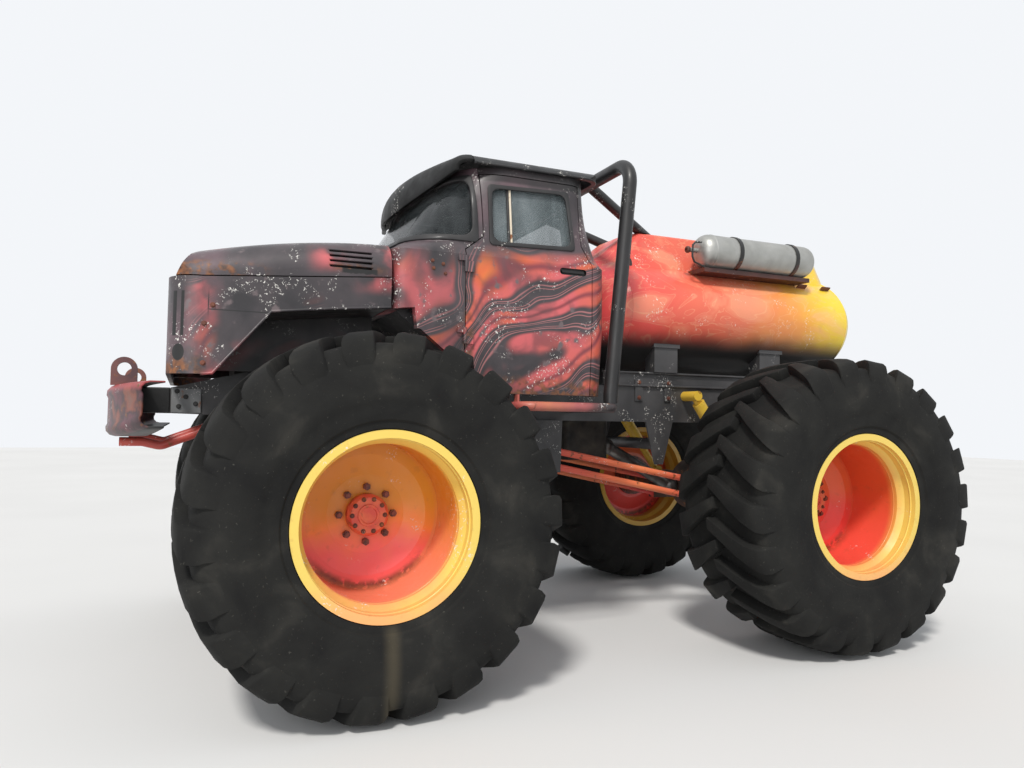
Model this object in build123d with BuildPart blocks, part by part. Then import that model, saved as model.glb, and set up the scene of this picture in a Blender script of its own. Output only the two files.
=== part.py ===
from build123d import *
from math import atan2, cos, radians, sin
import os

os.makedirs("parts", exist_ok=True)

# Sizes are in millimetres. X runs across the truck with its left side positive, the truck faces -Y,
# and Z is measured up from the ground.

# Wheels
wheelbase = 2900
front_axle_y = -1395
rear_axle_y = front_axle_y + wheelbase
tyre_radius = 900
tyre_width = 780
tyre_sides = 18
tread_edge_radius = 826
tread_half_width = 338
sidewall_radius = 650
lug_root_depth = 60
lug_bend_x = 300
lug_bend_radius = 872
lug_end_x = 388
lug_end_radius = 655
lug_count = 18
lug_centre_width = 62
lug_edge_width = 92
lug_skew = 190
lug_inner_x = 12
hub_z = tyre_radius
wheel_x = 1220
rim_width = 690
rim_flange_radius = 434
rim_flange_thickness = 12
bead_seat_radius = 406
well_radius = 378
rim_wall = 10
disc_x = 1060
disc_thickness = 16
disc_dish = 34
stud_circle_radius = 137.5
stud_count = 8
stud_radius = 11
running_gap = 5
seat_gap = 0.3

# Hubs
hub_flange_radius = 172
hub_flange_thickness = 26
hub_drum_radius = 150
hub_drum_length = 62
hub_cap_radius = 104
hub_cap_length = 70
pilot_radius = 92
nut_radius = 19
nut_height = 22

# Steering and axles
kingpin_x = 850
kingpin_radius = 26
kingpin_depth = 45
knuckle_half_height = 115
knuckle_boss_radius = 66
spindle_radius = 105
yoke_reach = 66
yoke_half_width = 72
yoke_plate = 46
yoke_root_x = 690
yoke_web = 50
axle_tube_radius = 85
diff_radius = 200
diff_half_width = 170
diff_cone_length = 150
pinion_radius = 74
pinion_length = 265
arm_length = 280
arm_width = 64
arm_thickness = 34
tie_rod_radius = 19
tie_rod_eye_radius = 30
tie_rod_pin_radius = 12
pin_gap = 0.08

# Frame
rail_outer_x = 432
rail_flange = 76
rail_plate = 10
rail_bottom = hub_z + 484
rail_top = hub_z + 728
rail_front_y = front_axle_y - 930
rail_rear_y = front_axle_y + 3650
horn_bottom = hub_z + 493
horn_top = hub_z + 631
horn_length = 380
beam_height = 101
beam_front_y = front_axle_y + 1780
beam_rear_y = rail_rear_y

# Bumper
bumper_half_width = 930
bumper_end_back = 110
bumper_bend_x = 620
bumper_front_y = front_axle_y - 1260
bumper_depth = 214
bumper_height = 270
bumper_bottom = hub_z + 363
bumper_plate = 10

# Cab
cab_bottom = hub_z + 633
cab_floor_top = hub_z + 800
floor_thickness = 35
wall = 55
belt_z = hub_z + 1400
glass_base_z = hub_z + 1470
gutter_z = hub_z + 1950
cowl_front_y = front_axle_y + 140
cab_rear_y = front_axle_y + 1470
pillar_y = front_axle_y + 665
door_gap = 6
glass_thickness = 8
glass_depth = 22
handle_y = front_axle_y + 1222
handle_z = hub_z + 1359
handle_recess_x = 950
handle_length = 176
handle_height = 40

# Door edges: distance behind the front axle, height above the hub
door_front = 556
door_rear = 1346
door_upper_front = 672
door_upper_rear = 1296
door_bottom = 633
door_top = 1902

# Roof and visor
roof_top = hub_z + 2090
roof_half_width = 885
roof_rear_y = front_axle_y + 1455
visor_front_y = front_axle_y + 335
visor_side_y = front_axle_y + 520
visor_split_y = front_axle_y + 625
visor_lip_z = hub_z + 1780
visor_side_lip_z = hub_z + 1880
visor_corner_radius = 110
roof_sheet = 26

# Front body
body_half_width = 970
nose_y = front_axle_y - 950
grille_bottom = hub_z + 685
hood_seam_front_z = hub_z + 1165
hood_seam_rear_z = hub_z + 1236
hood_top = hub_z + 1518
hood_sections = (
    # distance behind the front axle, drop below the rear section
    (-1000, 178),
    (-660, 94),
    (-300, 32),
    (160, 0),
)
hood_rear_y = cowl_front_y - door_gap
hood_sheet = 24
louvre_count = 4
louvre_pitch = 28
louvre_length = 222
louvre_height = 12
louvre_y = front_axle_y - 82
louvre_z = hub_z + 1309
nose_corner_radius = 150
fender_sheet = 22
grille_slots = 11
grille_slot_width = 34
grille_slot_height = 190
grille_slot_pitch = 98
headlamp_radius = 92
headlamp_x = 700

# Tank and cylinder
tank_half_height = 410
tank_half_width = 580
tank_z = hub_z + 1255
tank_front_y = front_axle_y + 1605
tank_rear_y = front_axle_y + 4050
tank_dome = 270
spine_base_half = 372
spine_top_half = 272
spine_top_z = hub_z + 1845
spine_front_y = front_axle_y + 1660
spine_rear_y = front_axle_y + 3950
spine_base_z = hub_z + 1560
saddle_length = 190
saddle_inner_x = 352
saddle_outer_x = 470
saddle_top_z = hub_z + 1060
cylinder_radius = 120
cylinder_x = tank_half_width - 70
cylinder_z = hub_z + 1700
cylinder_front_y = front_axle_y + 2440
cylinder_length = 1020
strap_width = 30
strap_thickness = 6

# Roll hoop
hoop_radius = 43
hoop_half_width = 970
hoop_foot_y = front_axle_y + 1480
hoop_top_y = front_axle_y + 1615
hoop_top_z = hub_z + 2080
hoop_bend = 150
stay_radius = 36
stay_top_x = 420
stay_foot_x = 235
stay_foot_y = front_axle_y + 2170

# Step bars
step_x = 1050
step_radius = 27
step_z = hub_z + 563
step_front_y = front_axle_y + 880
step_rear_y = hoop_foot_y
step_bend = 80
step_tab_height = 40
step_tab_length = 50

# Radius rods
rod_x = 452
rod_radius = 22
rod_eye_radius = 38
rod_eye_width = 58
ear_thickness = 14
hanger_y = front_axle_y + 1300
rod_axle_offset = 150

# Hinges of the doors and the hood
door_hinge_x = 981
door_hinge_y = front_axle_y + 550
door_hinge_radius = 10
door_hinge_heights = (hub_z + 900, hub_z + 1300)
door_hinge_length = 60
hinge_leaf_inner_x = 956
hinge_leaf_outer_x = 986
hinge_leaf_reach = 46
hood_hinge_x = 500
hood_hinge_y = cowl_front_y + 6
hood_hinge_z = hub_z + 1480
hood_hinge_radius = 9
hood_hinge_width = 16
hinge_arm = 84

wheels = (
    # name, side, axle position
    ("front_left", 1, front_axle_y),
    ("front_right", -1, front_axle_y),
    ("rear_left", 1, rear_axle_y),
    ("rear_right", -1, rear_axle_y),
)


def write(part, name):
    part.label = name
    export_step(part, f"parts/{name}.step")


def wheel_plane(side, axle_y):
    """Section plane of a wheel: local x points outboard, local y is up."""
    return Plane(origin=(side * wheel_x, axle_y, hub_z), x_dir=(side, 0, 0), z_dir=(0, -side, 0))


def cross_plane(x, y, z, side=1):
    """Plane square to the X axis, facing outboard."""
    return Plane(origin=(x, y, z), x_dir=(0, side, 0), z_dir=(side, 0, 0))


# Tyre, faceted round its axle, with bar lugs that run from the middle back and out over the shoulder
bead_x = rim_width / 2 - rim_flange_thickness - seat_gap
facet_reach = 1 / cos(radians(180 / tyre_sides))
tyre_half = tyre_width / 2
tyre_steps = (
    # distance from the middle, radius
    (-tyre_half, sidewall_radius),
    (-tread_half_width, tread_edge_radius),
    (tread_half_width, tread_edge_radius),
    (tyre_half, sidewall_radius),
)
with BuildPart() as lug:
    with BuildSketch(Plane.XY):
        with BuildLine():
            Polyline(
                (lug_inner_x, -lug_centre_width / 2),
                (lug_end_x, lug_skew - lug_edge_width / 2),
                (lug_end_x, lug_skew + lug_edge_width / 2),
                (lug_inner_x, lug_centre_width / 2),
                close=True,
            )
        make_face()
    extrude(amount=tyre_radius)
    with BuildSketch(Plane.XZ):
        with BuildLine():
            Polyline(
                (lug_inner_x, tread_edge_radius - lug_root_depth),
                (lug_inner_x, tyre_radius),
                (lug_bend_x, lug_bend_radius),
                (lug_end_x, lug_end_radius),
                close=True,
            )
        make_face()
    extrude(amount=tyre_radius, both=True, mode=Mode.INTERSECT)

with BuildPart() as tyre:
    for x, radius in tyre_steps:
        with BuildSketch(Plane.YZ.offset(x)):
            RegularPolygon(radius * facet_reach, tyre_sides)
    loft(ruled=True)
    for end in (1, -1):
        with BuildSketch(Plane.YZ.offset(end * tyre_half)):
            RegularPolygon(sidewall_radius * facet_reach, tyre_sides)
        with BuildSketch(Plane.YZ.offset(end * bead_x)):
            RegularPolygon(rim_flange_radius * facet_reach, tyre_sides)
        loft(ruled=True, mode=Mode.SUBTRACT)
    with BuildSketch(Plane.YZ.offset(-tyre_half)):
        RegularPolygon((bead_seat_radius + seat_gap) * facet_reach, tyre_sides)
    extrude(amount=tyre_width, mode=Mode.SUBTRACT)
    opposite_lug = lug.part.mirror(Plane.YZ).rotate(Axis.X, 180 / lug_count)
    for index in range(lug_count):
        turn = index * 360 / lug_count
        add(lug.part.rotate(Axis.X, turn))
        add(opposite_lug.rotate(Axis.X, turn))

# Rims and hubs
disc_local = disc_x - wheel_x
for name, side, axle_y in wheels:
    section = wheel_plane(side, axle_y)
    spin = Axis((side * wheel_x, axle_y, hub_z), (1, 0, 0))
    write(tyre.part.moved(Location((side * wheel_x, axle_y, hub_z))), f"tyre_{name}")

    flange = rim_width / 2
    seat = flange - rim_flange_thickness
    with BuildPart() as rim:
        with BuildSketch(section):
            with BuildLine():
                Polyline(
                    (0, well_radius),
                    (seat - 105, well_radius),
                    (seat - 70, bead_seat_radius - 4),
                    (seat, bead_seat_radius),
                    (seat, rim_flange_radius),
                    (flange, rim_flange_radius),
                    (flange, bead_seat_radius - rim_wall),
                    (seat - 62, bead_seat_radius - 4 - rim_wall),
                    (seat - 97, well_radius - rim_wall),
                    (0, well_radius - rim_wall),
                )
                mirror(about=Plane.YZ)
            make_face()
        revolve(axis=spin)
        with BuildSketch(section):
            with BuildLine():
                Polyline(
                    (disc_local, pilot_radius + seat_gap),
                    (disc_local, hub_flange_radius + 30),
                    (disc_local + disc_dish, well_radius - 70),
                    (disc_local + disc_dish, well_radius - rim_wall / 2),
                    (disc_local + disc_dish + disc_thickness, well_radius - rim_wall / 2),
                    (disc_local + disc_dish + disc_thickness, well_radius - 76),
                    (disc_local + disc_thickness, hub_flange_radius + 24),
                    (disc_local + disc_thickness, pilot_radius + seat_gap),
                    close=True,
                )
            make_face()
        revolve(axis=spin)
        with BuildSketch(cross_plane(side * disc_x, axle_y, hub_z, side)):
            with PolarLocations(stud_circle_radius, stud_count):
                Circle(stud_radius + 1)
        extrude(amount=disc_thickness, mode=Mode.SUBTRACT)
    write(rim.part, f"rim_{name}")

    with BuildPart() as hub:
        with BuildSketch(section):
            with BuildLine():
                Polyline(
                    (disc_local - hub_drum_length - hub_flange_thickness, 0),
                    (disc_local - hub_drum_length - hub_flange_thickness, hub_drum_radius),
                    (disc_local - hub_flange_thickness, hub_drum_radius),
                    (disc_local - hub_flange_thickness, hub_flange_radius),
                    (disc_local, hub_flange_radius),
                    (disc_local, pilot_radius),
                    (disc_local + disc_thickness + 8, pilot_radius),
                    (disc_local + disc_thickness + 8, hub_cap_radius),
                    (disc_local + disc_thickness + hub_cap_length - 16, hub_cap_radius),
                    (disc_local + disc_thickness + hub_cap_length, hub_cap_radius - 16),
                    (disc_local + disc_thickness + hub_cap_length, 0),
                    close=True,
                )
            make_face()
        revolve(axis=spin)
        with BuildSketch(cross_plane(side * disc_x, axle_y, hub_z, side)):
            with PolarLocations(stud_circle_radius, stud_count):
                Circle(stud_radius)
        extrude(amount=disc_thickness + nut_height + 12)
        with BuildSketch(cross_plane(side * (disc_x + disc_thickness), axle_y, hub_z, side)):
            with PolarLocations(stud_circle_radius, stud_count):
                RegularPolygon(nut_radius, 6)
        extrude(amount=nut_height)
    write(hub.part, f"hub_{name}")

# Knuckles and tie rod
hub_inner_x = disc_x - hub_flange_thickness - hub_drum_length
spindle_face_x = hub_inner_x - seat_gap
for name, side in (("left", 1), ("right", -1)):
    pin_plane = Plane.XY.offset(hub_z)
    arm_y = front_axle_y - arm_length
    with BuildPart() as knuckle:
        with BuildSketch(pin_plane.offset(-knuckle_half_height)):
            with Locations((side * kingpin_x, front_axle_y)):
                Circle(knuckle_boss_radius)
        extrude(amount=2 * knuckle_half_height)
        with BuildSketch(cross_plane(side * kingpin_x, front_axle_y, hub_z, side)):
            Circle(spindle_radius)
        extrude(amount=spindle_face_x - kingpin_x)
        with BuildSketch(pin_plane.offset(-arm_thickness / 2)):
            with BuildLine():
                Polyline(
                    (side * (kingpin_x - arm_width / 2), front_axle_y),
                    (side * (kingpin_x - arm_width / 2), arm_y),
                    (side * (kingpin_x + arm_width / 2), arm_y),
                    (side * (kingpin_x + arm_width / 2), front_axle_y),
                    close=True,
                )
            make_face()
            with Locations((side * kingpin_x, arm_y)):
                Circle(arm_width / 2)
        extrude(amount=arm_thickness)
        with BuildSketch(pin_plane.offset(-arm_thickness / 2)):
            with Locations((side * kingpin_x, arm_y)):
                Circle(tie_rod_pin_radius + pin_gap)
        extrude(amount=arm_thickness, mode=Mode.SUBTRACT)
        for end in (1, -1):
            with BuildSketch(pin_plane.offset(end * knuckle_half_height)):
                with Locations((side * kingpin_x, front_axle_y)):
                    Circle(kingpin_radius + pin_gap)
            extrude(amount=-end * (kingpin_depth + 1), mode=Mode.SUBTRACT)
    write(knuckle.part, f"knuckle_{name}")

tie_rod_y = front_axle_y - arm_length
tie_rod_z = hub_z + arm_thickness / 2 + running_gap + tie_rod_eye_radius
with BuildPart() as tie_rod:
    with BuildSketch(Plane.YZ.offset(-kingpin_x)):
        with Locations((tie_rod_y, tie_rod_z)):
            Circle(tie_rod_radius)
    extrude(amount=2 * kingpin_x)
    for end in (1, -1):
        with BuildSketch(Plane.XY.offset(hub_z + arm_thickness / 2 + running_gap)):
            with Locations((end * kingpin_x, tie_rod_y)):
                Circle(tie_rod_eye_radius)
        extrude(amount=2 * tie_rod_eye_radius)
        with BuildSketch(Plane.XY.offset(hub_z - arm_thickness / 2)):
            with Locations((end * kingpin_x, tie_rod_y)):
                Circle(tie_rod_pin_radius)
        extrude(amount=arm_thickness + running_gap)
write(tie_rod.part, "tie_rod")

# Axles: the bowl and tubes are turned, the front one ends in yokes and the rear one in flanges
rod_ends = (
    # height above the hub at the axle, height above the hub at the hanger
    (20, 290),
    (-100, 190),
)
for name, axle_y, inward in (("front", front_axle_y, 1), ("rear", rear_axle_y, -1)):
    tube_end = yoke_root_x if name == "front" else spindle_face_x
    cone_end = diff_half_width + diff_cone_length
    with BuildPart() as axle:
        with BuildSketch(Plane(origin=(0, axle_y, hub_z), x_dir=(1, 0, 0), z_dir=(0, -1, 0))):
            with BuildLine():
                Polyline(
                    (-tube_end, 0),
                    (-tube_end, axle_tube_radius),
                    (-cone_end, axle_tube_radius),
                    (-diff_half_width, diff_radius),
                    (diff_half_width, diff_radius),
                    (cone_end, axle_tube_radius),
                    (tube_end, axle_tube_radius),
                    (tube_end, 0),
                    close=True,
                )
            make_face()
        revolve(axis=Axis((0, axle_y, hub_z), (1, 0, 0)))
        with BuildSketch(Plane(origin=(0, axle_y, hub_z), x_dir=(1, 0, 0), z_dir=(0, inward, 0))):
            Circle(pinion_radius)
        extrude(amount=pinion_length)
        for side in (1, -1):
            if name == "front":
                inner = knuckle_half_height + running_gap
                outer = inner + yoke_plate
                with BuildSketch(Plane.XZ.offset(-axle_y + yoke_half_width)):
                    with BuildLine():
                        Polyline(
                            (side * yoke_root_x, hub_z - outer),
                            (side * (kingpin_x + yoke_reach), hub_z - outer),
                            (side * (kingpin_x + yoke_reach), hub_z - inner),
                            (side * (yoke_root_x + yoke_web), hub_z - inner),
                            (side * (yoke_root_x + yoke_web), hub_z + inner),
                            (side * (kingpin_x + yoke_reach), hub_z + inner),
                            (side * (kingpin_x + yoke_reach), hub_z + outer),
                            (side * yoke_root_x, hub_z + outer),
                            close=True,
                        )
                    make_face()
                extrude(amount=-2 * yoke_half_width)
                for end in (1, -1):
                    with BuildSketch(Plane.XY.offset(hub_z + end * outer)):
                        with Locations((side * kingpin_x, axle_y)):
                            Circle(kingpin_radius)
                    extrude(amount=-end * (yoke_plate + running_gap + kingpin_depth))
            else:
                with BuildSketch(cross_plane(side * (spindle_face_x - 30), axle_y, hub_z, side)):
                    Circle(spindle_radius + 20)
                extrude(amount=30)
            for ear in (-1, 1):
                ear_x = rod_x + ear * (rod_eye_width / 2 + seat_gap + ear_thickness / 2)
                with BuildSketch(cross_plane(side * (ear_x - ear_thickness / 2), 0, 0)):
                    with BuildLine():
                        Polyline(
                            (axle_y, hub_z + 70),
                            (axle_y + inward * (rod_axle_offset + 34), hub_z + rod_ends[0][0] + 34),
                            (axle_y + inward * (rod_axle_offset + 34), hub_z + rod_ends[1][0] - 34),
                            (axle_y, hub_z + rod_ends[1][0] - 34),
                            close=True,
                        )
                    make_face()
                extrude(amount=side * ear_thickness)
    write(axle.part, f"{name}_axle")

# Radius rods with an eye at each end
with BuildPart() as radius_rods:
    for axle_y, inward in ((front_axle_y, 1), (rear_axle_y, -1)):
        for side in (1, -1):
            for axle_rise, hanger_rise in rod_ends:
                start = Vector(side * rod_x, axle_y + inward * rod_axle_offset, hub_z + axle_rise)
                finish = Vector(side * rod_x, hanger_y - inward * 55, hub_z + hanger_rise)
                along = (finish - start).normalized()
                with BuildSketch(Plane(origin=start, z_dir=along)):
                    Circle(rod_radius)
                extrude(amount=(finish - start).length)
                for end in (start, finish):
                    with BuildSketch(Plane.YZ.offset(end.X - rod_eye_width / 2)):
                        with Locations((end.Y, end.Z)):
                            Circle(rod_eye_radius)
                    extrude(amount=rod_eye_width)
write(radius_rods.part, "radius_rods")

# Hangers under the rails that hold the inner ends of the rods
with BuildPart() as rod_hangers:
    for side in (1, -1):
        for ear in (-1, 1):
            ear_x = rod_x + ear * (rod_eye_width / 2 + seat_gap + ear_thickness / 2)
            with BuildSketch(cross_plane(side * (ear_x - ear_thickness / 2), 0, 0)):
                with BuildLine():
                    Polyline(
                        (hanger_y - 100, rail_bottom),
                        (hanger_y + 100, rail_bottom),
                        (hanger_y + 92, hub_z + rod_ends[1][1] - 40),
                        (hanger_y - 92, hub_z + rod_ends[1][1] - 40),
                        close=True,
                    )
                make_face()
            extrude(amount=side * ear_thickness)
        reach = rod_eye_width / 2 + seat_gap + ear_thickness
        with BuildSketch(Plane.XY.offset(rail_bottom - 16)):
            with Locations((side * rod_x, hanger_y)):
                Rectangle(2 * reach, 200)
        extrude(amount=16)
write(rod_hangers.part, "rod_hangers")

# V hangers and their cross tube
v_hanger_y = front_axle_y + 2190
v_tube_z = hub_z + 190
with BuildPart() as v_hangers:
    for side in (1, -1):
        with BuildSketch(cross_plane(side * (rail_outer_x - 16), 0, 0)):
            with BuildLine():
                Polyline(
                    (v_hanger_y - 110, rail_bottom),
                    (v_hanger_y + 110, rail_bottom),
                    (v_hanger_y + 32, v_tube_z),
                    (v_hanger_y - 32, v_tube_z),
                    close=True,
                )
            make_face()
        extrude(amount=side * 16)
    with BuildSketch(Plane.YZ.offset(-rail_outer_x)):
        with Locations((v_hanger_y, v_tube_z + 140)):
            Circle(40)
    extrude(amount=2 * rail_outer_x)
write(v_hangers.part, "v_hangers")

# Shock absorbers
shock_x = 545
shock_eye_radius = 34
shock_body_radius = 44
shock_rod_radius = 27
shock_reach = (axle_tube_radius + shock_eye_radius + seat_gap) * cos(radians(45))
with BuildPart() as shocks:
    for axle_y, inward in ((front_axle_y, 1), (rear_axle_y, -1)):
        for side in (1, -1):
            foot = Vector(side * shock_x, axle_y + inward * shock_reach, hub_z + shock_reach)
            head = Vector(side * shock_x, axle_y + inward * 500, rail_top - 60)
            along = (head - foot).normalized()
            length = (head - foot).length
            with BuildSketch(Plane(origin=foot, z_dir=along)):
                Circle(shock_rod_radius)
            extrude(amount=length)
            with BuildSketch(Plane(origin=foot + along * (0.42 * length), z_dir=along)):
                Circle(shock_body_radius)
            extrude(amount=0.5 * length)
            with BuildSketch(cross_plane(side * (shock_x - 45), foot.Y, foot.Z)):
                Circle(shock_eye_radius)
            extrude(amount=side * 90)
            with BuildSketch(cross_plane(side * (rail_outer_x + seat_gap), head.Y, head.Z)):
                Circle(shock_eye_radius)
            extrude(amount=side * (shock_x + 45 - rail_outer_x - seat_gap))
write(shocks.part, "shock_absorbers")

# Frame rails: channels with the web outside, tapered to the horns
with BuildPart() as frame_rails:
    for side in (1, -1):
        web_plane = cross_plane(side * rail_outer_x, 0, 0)
        with BuildSketch(web_plane):
            with BuildLine():
                Polyline(
                    (rail_front_y, horn_bottom),
                    (rail_front_y, horn_top),
                    (rail_front_y + horn_length, rail_top),
                    (rail_rear_y, rail_top),
                    (rail_rear_y, rail_bottom),
                    (rail_front_y + horn_length, rail_bottom),
                    close=True,
                )
            make_face()
        extrude(amount=-side * rail_flange)
        with BuildSketch(web_plane.offset(-side * rail_plate)):
            with BuildLine():
                Polyline(
                    (rail_front_y - 1, horn_bottom + rail_plate),
                    (rail_front_y - 1, horn_top - rail_plate),
                    (rail_front_y + horn_length, rail_top - rail_plate),
                    (rail_rear_y + 1, rail_top - rail_plate),
                    (rail_rear_y + 1, rail_bottom + rail_plate),
                    (rail_front_y + horn_length, rail_bottom + rail_plate),
                    close=True,
                )
            make_face()
        extrude(amount=-side * rail_flange, mode=Mode.SUBTRACT)
write(frame_rails.part, "frame_rails")

crossmembers_table = (
    # distance behind the front axle, bottom and top above the hub, length along the truck
    (-790, 520, 600, 70),
    (1120, 640, 710, 90),
    (2190, 520, 640, 90),
    (3560, 500, 700, 60),
)
web_inner = rail_outer_x - rail_plate
with BuildPart() as crossmembers:
    for back, low, high, depth in crossmembers_table:
        with BuildSketch(Plane.XY.offset(hub_z + low)):
            with Locations((0, front_axle_y + back)):
                Rectangle(2 * web_inner, depth)
        extrude(amount=high - low)
write(crossmembers.part, "crossmembers")

with BuildPart() as subframe_beams:
    for side in (1, -1):
        with BuildSketch(Plane.XY.offset(rail_top)):
            with Locations((side * (rail_outer_x - rail_flange / 2), (beam_front_y + beam_rear_y) / 2)):
                Rectangle(rail_flange, beam_rear_y - beam_front_y)
        extrude(amount=beam_height)
write(subframe_beams.part, "subframe_beams")

# Front bumper: a channel open to the rear, its ends bent back
def bumper_plan(depth):
    """Plan outline of the bumper from its front face back by a depth."""
    end_y = bumper_front_y + bumper_end_back
    with BuildSketch(Plane.XY) as plan:
        with BuildLine():
            Polyline(
                (-bumper_half_width, end_y),
                (-bumper_bend_x, bumper_front_y),
                (bumper_bend_x, bumper_front_y),
                (bumper_half_width, end_y),
                (bumper_half_width, end_y + depth),
                (bumper_bend_x, bumper_front_y + depth),
                (-bumper_bend_x, bumper_front_y + depth),
                (-bumper_half_width, end_y + depth),
                close=True,
            )
        make_face()
    return plan.sketch


horn_mid = (horn_bottom + horn_top) / 2
with BuildPart() as front_bumper:
    with BuildSketch(Plane.XY.offset(bumper_bottom)):
        add(bumper_plan(bumper_depth))
    extrude(amount=bumper_height)
    web_back = bumper_plan(bumper_depth + 10).moved(Location((0, bumper_plate, 0)))
    with BuildSketch(Plane.XY.offset(bumper_bottom + bumper_plate)):
        add(web_back)
    extrude(amount=bumper_height - 2 * bumper_plate, mode=Mode.SUBTRACT)
    for side in (1, -1):
        with BuildSketch(Plane.XZ.offset(-rail_front_y)):
            with Locations((side * (rail_outer_x - rail_flange / 2), horn_mid)):
                Rectangle(rail_flange, horn_top - horn_bottom)
        extrude(amount=rail_front_y - bumper_front_y - bumper_plate)
write(front_bumper.part, "front_bumper")

# Tow eyes standing on the bumper
tow_eye_x = 520
tow_eye_y = bumper_front_y + 110
tow_eye_z = bumper_bottom + bumper_height + 85
tow_eye_radius = 62
tow_eye_hole = 34
tow_eye_thickness = 28
with BuildPart() as tow_eyes:
    for side in (1, -1):
        with BuildSketch(Plane.YZ.offset(side * tow_eye_x - tow_eye_thickness / 2)):
            with Locations((tow_eye_y, tow_eye_z)):
                Circle(tow_eye_radius)
            with Locations((tow_eye_y, bumper_bottom + bumper_height)):
                Rectangle(
                    2 * tow_eye_radius,
                    tow_eye_z - bumper_bottom - bumper_height,
                    align=(Align.CENTER, Align.MIN),
                )
            with Locations((tow_eye_y, tow_eye_z)):
                Circle(tow_eye_hole, mode=Mode.SUBTRACT)
        extrude(amount=tow_eye_thickness)
write(tow_eyes.part, "tow_eyes")

# Bent braces from the bumper's lower flange to the rails
brace_radius = 24
with BuildPart() as bumper_braces:
    for side in (1, -1):
        brace_x = side * (rail_outer_x - rail_flange / 2)
        with BuildLine() as brace_path:
            FilletPolyline(
                (brace_x, bumper_front_y + 90, bumper_bottom - brace_radius - seat_gap),
                (brace_x, bumper_front_y + 200, bumper_bottom - brace_radius - seat_gap),
                (brace_x, bumper_front_y + 290, bumper_bottom - 46),
                (brace_x, front_axle_y - 600, rail_bottom - brace_radius - seat_gap),
                (brace_x, front_axle_y - 440, rail_bottom - brace_radius - seat_gap),
                radius=60,
            )
        with BuildSketch(Plane(origin=brace_path.line @ 0, z_dir=brace_path.line % 0)):
            Circle(brace_radius)
        sweep(path=brace_path.line)
write(bumper_braces.part, "bumper_braces")

# Step bars under the doors
with BuildPart() as step_bars:
    for side in (1, -1):
        with BuildLine() as step_path:
            FilletPolyline(
                (side * (rail_outer_x + seat_gap), step_front_y, step_z),
                (side * step_x, step_front_y, step_z),
                (side * step_x, step_rear_y, step_z),
                (side * (rail_outer_x + seat_gap), step_rear_y, step_z),
                radius=step_bend,
            )
        with BuildSketch(Plane(origin=step_path.line @ 0, z_dir=step_path.line % 0)):
            Circle(step_radius)
        sweep(path=step_path.line)
        with BuildSketch(Plane.XY.offset(step_z)):
            with Locations((side * (step_x - step_bend - step_tab_length / 2), step_front_y)):
                Rectangle(step_tab_length, 12)
        extrude(amount=step_radius + step_tab_height)
write(step_bars.part, "step_bars")

# Engine block and gearbox with transfer case
engine_half_width = 270
engine_front_y = front_axle_y - 600
engine_rear_y = front_axle_y + 110
drive_z = hub_z + 550
with BuildPart() as engine_block:
    with BuildSketch(Plane.XY.offset(hub_z + 400)):
        with Locations((0, (engine_front_y + engine_rear_y) / 2)):
            Rectangle(2 * engine_half_width, engine_rear_y - engine_front_y)
    extrude(amount=740)
    with BuildSketch(Plane.XY.offset(hub_z + 540)):
        with Locations((0, engine_front_y + 300)):
            Rectangle(2 * web_inner, 90)
    extrude(amount=90)
write(engine_block.part, "engine_block")

transfer_front_y = front_axle_y + 1600
transfer_rear_y = front_axle_y + 1950
shaft_drop_z = hub_z + 300
with BuildPart() as gearbox:
    with BuildSketch(Plane(origin=(0, engine_rear_y, drive_z), x_dir=(1, 0, 0), z_dir=(0, 1, 0))):
        Circle(200)
    with BuildSketch(Plane(origin=(0, engine_rear_y + 260, drive_z), x_dir=(1, 0, 0), z_dir=(0, 1, 0))):
        Circle(140)
    loft()
    with BuildSketch(Plane(origin=(0, engine_rear_y + 260, drive_z), x_dir=(1, 0, 0), z_dir=(0, 1, 0))):
        Rectangle(260, 250)
    extrude(amount=480)
    with BuildSketch(Plane(origin=(0, engine_rear_y + 740, drive_z), x_dir=(1, 0, 0), z_dir=(0, 1, 0))):
        Circle(36)
    extrude(amount=transfer_front_y - engine_rear_y - 740)
    with BuildSketch(Plane.XY.offset(shaft_drop_z - 90)):
        with Locations((0, (transfer_front_y + transfer_rear_y) / 2)):
            RectangleRounded(300, transfer_rear_y - transfer_front_y, 40)
    extrude(amount=drive_z - shaft_drop_z + 180)
    for mount_y in (engine_rear_y + 620, (transfer_front_y + transfer_rear_y) / 2):
        with BuildSketch(Plane.XY.offset(drive_z - 30)):
            with Locations((0, mount_y)):
                Rectangle(2 * web_inner, 90)
        extrude(amount=60)
write(gearbox.part, "gearbox")

# Propeller shafts with a joint ball at each end
prop_radius = 44
prop_ball = 62
with BuildPart() as propshafts:
    for start_y, finish_y, way in (
        (transfer_front_y, front_axle_y + pinion_length, -1),
        (transfer_rear_y, rear_axle_y - pinion_length, 1),
    ):
        start = Vector(0, start_y + way * (prop_ball + seat_gap), shaft_drop_z)
        finish = Vector(0, finish_y - way * (prop_ball + seat_gap), hub_z)
        along = (finish - start).normalized()
        with BuildSketch(Plane(origin=start, z_dir=along)):
            Circle(prop_radius)
        extrude(amount=(finish - start).length)
        with Locations(start, finish):
            Sphere(prop_ball)
write(propshafts.part, "propshafts")

# Cab: one tapered shell, split where the real panels meet
cab_levels = (
    # height, half width, front, bow of the front, rear, front corner radius, rear corner radius
    (cab_bottom, 950, cowl_front_y, 0, cab_rear_y - 10, 90, 130),
    (hub_z + 1000, 972, cowl_front_y, 0, cab_rear_y, 90, 130),
    (belt_z, 966, cowl_front_y, 0, cab_rear_y, 90, 130),
    (glass_base_z, 932, cowl_front_y + 40, 50, cab_rear_y - 40, 290, 130),
    (gutter_z, roof_half_width - 19, cowl_front_y + 330, 90, cab_rear_y - 100, 290, 130),
)


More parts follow.
